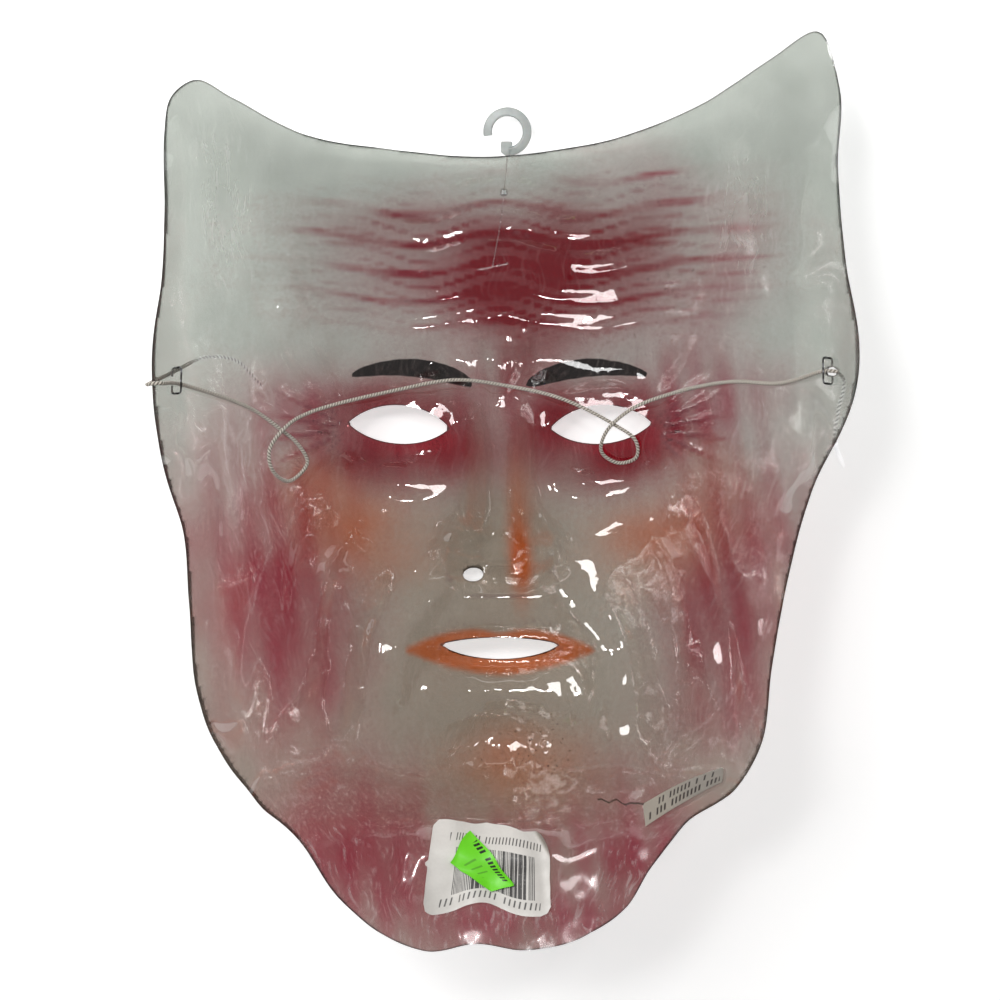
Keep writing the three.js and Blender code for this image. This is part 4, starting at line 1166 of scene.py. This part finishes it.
class MESH_OT_mask_hook(bpy.types.Operator):
    """Makes the hanging hook: open ring, foot, stem with a bead in the hole, and cross bar."""

    bl_idname = "mesh.mask_hook"
    bl_label = "Hanging hook"

    def execute(self, context):
        thickness = settings()[0].thickness / MM
        cosine, sine = np.cos(REST_TILT), np.sin(REST_TILT)
        foot_height = -thickness - 0.4 - HOOK["thick"] / 2 - 0.6
        foot = above_sheet((HOOK["x"], HOOK["foot_y"], foot_height))

        def level(u, v):
            """Points of the ring's own level plane: u to the right and v towards the ring."""
            v = v + HOOK["ring_y"] - HOOK["foot_y"]
            return foot + np.stack([u, v * cosine, v * sine], -1)

        middle, half = (HOOK["outer"] + HOOK["inner"]) / 2, (HOOK["outer"] - HOOK["inner"]) / 2
        turn = np.linspace(-np.pi / 2 + 0.06, HOOK["mouth"], 96)
        path = level(middle * np.cos(turn), middle * np.sin(turn))
        flat = ring_of(20, half, HOOK["thick"] / 2, 0.45)
        ends = np.minimum(np.arange(96), np.arange(96)[::-1])
        size = (1 - 0.12 * (ends == 0))[:, None, None]
        outward = path[0] - level(0.0, 0.0)
        ring = swept(laid(path), MM * flat * size, first=tuple(outward))
        half_width, middle, top, low = HOOK["block"]
        v = np.linspace(top, HOOK["foot_y"] - HOOK["ring_y"], 24)
        neck = smooth(-v, -low - 0.3, -v[-1])
        path = level(middle * (1 - neck), v)
        width = half_width * (1 - 0.82 * neck) * (1 - 0.12 * np.exp(4 * (v - top)))
        depth = HOOK["thick"] / 2 - 0.45 * neck
        block = ring_of(20, 1.0, 1.0, 0.4) * np.stack([width, depth], -1)[:, None]
        block = swept(laid(path), MM * block, first=(1.0, 0.0, 0.0))
        x, y, _ = HOOK_HOLE
        hole = above_sheet((x, y, -thickness / 2))
        stem = np.vstack([
            foot + (0, 0.8, 0.2),
            above_sheet([
                (HOOK["x"] - 0.3, HOOK["foot_y"] - 3, -thickness - 1.3),
                (x + 0.2, y + 1.6, -thickness - 0.8), (x, y, -thickness / 2),
                (x - 0.2, y - 1.6, 0.9), (x - 1, y - 7, 2.2), (*HOOK["bar"], 1.1),
            ]),
        ])
        line = curve_through(stem, 14)
        bead = np.exp(-((np.linalg.norm(line - hole, axis=1) / 0.55) ** 2))
        thin = HOOK["stem"] / 2 * (0.88 + 0.4 * np.exp(-np.arange(len(line)) / 5)) + 0.42 * bead
        stem = swept(laid(line), MM * ring_of(10, 1, 1) * thin[:, None, None])
        offset = np.linspace(-0.5, 0.5, 24) * HOOK["bar_length"]
        bar = np.stack([
            HOOK["bar"][0] + offset * np.cos(HOOK["bar_turn"]),
            HOOK["bar"][1] + offset * np.sin(HOOK["bar_turn"]), np.full(24, 1.0),
        ], -1)
        taper = HOOK["bar_thick"] / 2 * np.sqrt(0.75 - 0.5 * np.abs(np.linspace(-1, 1, 24)) ** 9)
        bar = swept(laid(above_sheet(bar)), MM * ring_of(12, 1, 0.8) * taper[:, None, None])
        points, faces = joined([ring, block, stem, bar])
        piece = new_piece(
            "moulded_hook", points, faces, hook_material(), ["hang_hook"],
        )
        piece.data.materials.append(filament_material())
        parts = [sum(len(faces) for faces in part[1]) for part in (ring, block, stem, bar)]
        beaded = np.repeat(bead[:-1] > 0.2, 10)
        clear = np.ones(parts[2] + parts[3], int)
        clear[:len(beaded)] = ~beaded
        slots = np.concatenate([np.zeros(parts[0] + parts[1], int), clear])
        piece.data.polygons.foreach_set("material_index", slots.astype(np.int32))
        return {"FINISHED"}


def label_piece(name, spec, material, node, step=0.7, thick=0.16, curl=0.25):
    """A stuck sheet. Its flat outline, in millimetres, is cut from a grid, its long edges are
    bowed by a bell across the width, and the corner past the fold line is rolled round a
    cylinder. The plan is then carried between the label's four corners onto the inner face,
    lifted by shallow waves and curled at its rim."""
    lower_left, lower_right, upper_right, upper_left = np.array(spec["corners"], float)
    width = np.linalg.norm(lower_right - lower_left)
    height = np.linalg.norm(upper_left - lower_left)
    outline = np.array(spec["outline"], float)
    s, t, triangles = cut_plan(lambda a, b: distance_to(a, b, outline), outline.min(0),
                               outline.max(0), step)
    rim = np.exp(distance_to(s, t, outline) / 1.2)
    fold_s, fold_t, degrees, roll = spec["fold"]
    aim_s, aim_t = np.cos(np.radians(degrees)), np.sin(np.radians(degrees))
    past = np.maximum((s - fold_s) * aim_s + (t - fold_t) * aim_t, 0)
    back = past - roll * np.sin(past / roll)
    u, v = ((s - back * aim_s) / width)[:, None], ((t - back * aim_t) / height)[:, None]
    low_bow, high_bow = spec["bow"]
    v = v + np.exp(-(((u - 0.46) / 0.2) ** 2)) * (low_bow * (1 - v) + high_bow * v) / height
    low = lower_left * (1 - u) + lower_right * u
    place = low * (1 - v) + (upper_left * (1 - u) + upper_right * u) * v
    turn = 2 * np.pi * LABEL_WAVES * (place[:, 0] + place[:, 1] / 4) / LABEL_WAVE_SPAN
    lift = spec["lift"] + spec["wave"] * (1 - np.cos(turn)) + curl * rim
    lift = lift + 0.1 * spec["wave"] * waves(s, t, 9, 6, len(name))
    lift = lift + roll * (1 - np.cos(past / roll))
    upper, lower = (
        laid(above_sheet(np.column_stack([place, lift + extra]))) for extra in (thick, 0)
    )
    points, faces = thick_sheet(triangles, upper, lower)
    piece = new_piece(name, points, faces, material, [node])
    set_plan(piece, np.tile(np.stack([s, t], -1), (2, 1)))
    # Painted shade darkens the corner rolled past the fold; the strip fades towards its right end.
    soiled = np.maximum(0.85 * smooth(past, 0, 1.6), spec["faded"] * smooth(s, 4, 20))
    set_attribute(piece, "soiled", np.tile(soiled, 2))
    return piece


class MESH_OT_mask_labels(bpy.types.Operator):
    """Makes the wavy paper label, the green sticker on it and the strip at the jaw."""

    bl_idname = "mesh.mask_labels"
    bl_label = "Labels"

    def execute(self, context):
        colours = settings()[1]
        paper = printed_material(
            "thermal_label_paper", linear("#e6e2dc"), linear("#8b8279"), linear("#2c2a2b"),
            PAPER_ROWS, 0.6, 0.0,
        )
        label_piece("wavy_paper_label", PAPER_LABEL, paper, "paper_label")
        green = printed_material(
            "fluorescent_paper", colours.sticker, linear("#4fae12"), linear("#16240c"),
            STICKER_ROWS, 0.5, 0.0,
        )
        label_piece("green_sticker", PRICE_STICKER, green, "price_sticker",
                    step=0.5, curl=0.4)
        film = printed_material(
            "printed_vinyl_strip", linear("#c9c2b4"), linear("#b3aea6"), linear("#3c3634"),
            STRIP_ROWS, 0.35, 0.35,
        )
        label_piece("vinyl_strip", ORIGIN_LABEL, film, "origin_label",
                    step=0.6, curl=0.05)
        return {"FINISHED"}


# The photograph's view: the camera looks along the mask's own depth, over this point of the
# drawing and this far above its rim, with a lens that takes in the frame's width.
CAMERA_AT = (0.0, -22.8, 560.0)
LENS_MM = 72.0
SENSOR_MM = 36.0
FLOOR_HALF = 2.5

# Softboxes: position, width and height, share of the key power. Two small ones near the camera
# give the crisp glints, and a large one up to the left gives the shading.
SOFTBOXES = {
    "softbox_near": ((-0.12, 0.28, 0.62), (0.1, 0.08), 0.38),
    "softbox_right": ((0.13, 0.3, 0.62), (0.07, 0.06), 0.2),
    "softbox_left": ((-0.45, 0.55, 0.85), (0.45, 0.45), 2.0),
}


def floor_material(stage):
    """Matt painted board that glows a little, so that it stays pale under the mask: even, with a
    faint grain."""
    material, add, place = new_material("matt_painted_board")
    grain = add("TexNoise", {"Vector": place, "Scale": 1 / 0.004, "Detail": 1.0})
    darker = [0.985 * part for part in stage.floor[:3]] + [1.0]
    shader = add("BsdfPrincipled", {
        "Base Color": add("Mix", (grain, darker, stage.floor), **COLOUR), "Roughness": 0.9,
        "Specular IOR Level": 0.0,
        "Emission Color": (1, 1, 1, 1), "Emission Strength": stage.glow,
    })
    add("OutputMaterial", (shader,))
    return material


def aim(light, position, target):
    """Places a light with its own -Z towards a target."""
    light.location = position
    light.rotation_mode = "QUATERNION"
    light.rotation_quaternion = (Vector(target) - Vector(position)).to_track_quat("-Z", "Y")


class SCENE_OT_mask_stage(bpy.types.Operator):
    """Makes the pale floor, the soft lights, and the camera at the photograph's view."""

    bl_idname = "scene.mask_stage"
    bl_label = "Stage"

    def execute(self, context):
        stage = settings()[3]
        scene = context.scene
        signs = ((-1, -1), (1, -1), (1, 1), (-1, 1))
        mesh = bpy.data.meshes.new("pale_floor")
        corners = [(FLOOR_HALF * x, FLOOR_HALF * y, 0.0) for x, y in signs]
        mesh.from_pydata(corners, [], [(0, 1, 2, 3)])
        mesh.materials.append(floor_material(stage))
        floor = bpy.data.objects.new("pale_floor", mesh)
        scene.collection.objects.link(floor)
        camera = bpy.data.objects.new("camera", bpy.data.cameras.new("camera"))
        camera.data.lens, camera.data.sensor_width = LENS_MM, SENSOR_MM
        camera.location = laid(CAMERA_AT)
        camera.rotation_euler = (-REST_TILT, 0, 0)
        scene.collection.objects.link(camera)
        scene.camera = camera
        world = bpy.data.worlds.new("even_light")
        world.use_nodes = True
        background = world.node_tree.nodes["Background"]
        background.inputs["Color"].default_value = (1, 1, 1, 1)
        background.inputs["Strength"].default_value = stage.ambient
        scene.world = world
        for name, (position, size, share) in SOFTBOXES.items():
            light = bpy.data.lights.new(name, "AREA")
            light.shape, (light.size, light.size_y) = "RECTANGLE", size
            light.energy = stage.key * share
            lamp = bpy.data.objects.new(name, light)
            aim(lamp, position, (0, 0, 0.03))
            scene.collection.objects.link(lamp)
        scene.view_settings.view_transform = "Standard"
        return {"FINISHED"}


class VIEW3D_PT_face_mask(bpy.types.Panel):
    """Lists the mask's operators and settings."""

    bl_label = "Clear face mask"
    bl_idname = "VIEW3D_PT_face_mask"
    bl_space_type = "VIEW_3D"
    bl_region_type = "UI"
    bl_category = "Mask"

    def draw(self, context):
        for group in settings():
            box = self.layout.box()
            for name in group.__annotations__:
                box.prop(group, name)
        for operator in OPERATORS:
            self.layout.operator(operator.bl_idname)


OPERATORS = (
    SCENE_OT_mask_stage, MESH_OT_mask_cord, MESH_OT_mask_sheet, MESH_OT_mask_staples,
    MESH_OT_mask_hook, MESH_OT_mask_labels,
)
GROUPS = {
    "mask_sheet": MaskSheetSettings, "mask_colours": MaskColourSettings,
    "mask_fittings": MaskFittingSettings, "mask_stage": MaskStageSettings,
}


def register():
    """Registers the settings, the operators and the panel."""
    for name, group in GROUPS.items():
        bpy.utils.register_class(group)
        setattr(bpy.types.Scene, name, bpy.props.PointerProperty(type=group))
    for item in (*OPERATORS, VIEW3D_PT_face_mask):
        bpy.utils.register_class(item)


def unregister():
    """Removes what register() added."""
    for item in (VIEW3D_PT_face_mask, *reversed(OPERATORS)):
        bpy.utils.unregister_class(item)
    for name, group in GROUPS.items():
        delattr(bpy.types.Scene, name)
        bpy.utils.unregister_class(group)


def main():
    """Makes the whole scene."""
    register()
    bpy.ops.scene.mask_stage()
    bpy.ops.mesh.mask_cord()
    bpy.ops.mesh.mask_sheet()
    bpy.ops.mesh.mask_staples()
    bpy.ops.mesh.mask_hook()
    bpy.ops.mesh.mask_labels()


if __name__ == "__main__":
    main()
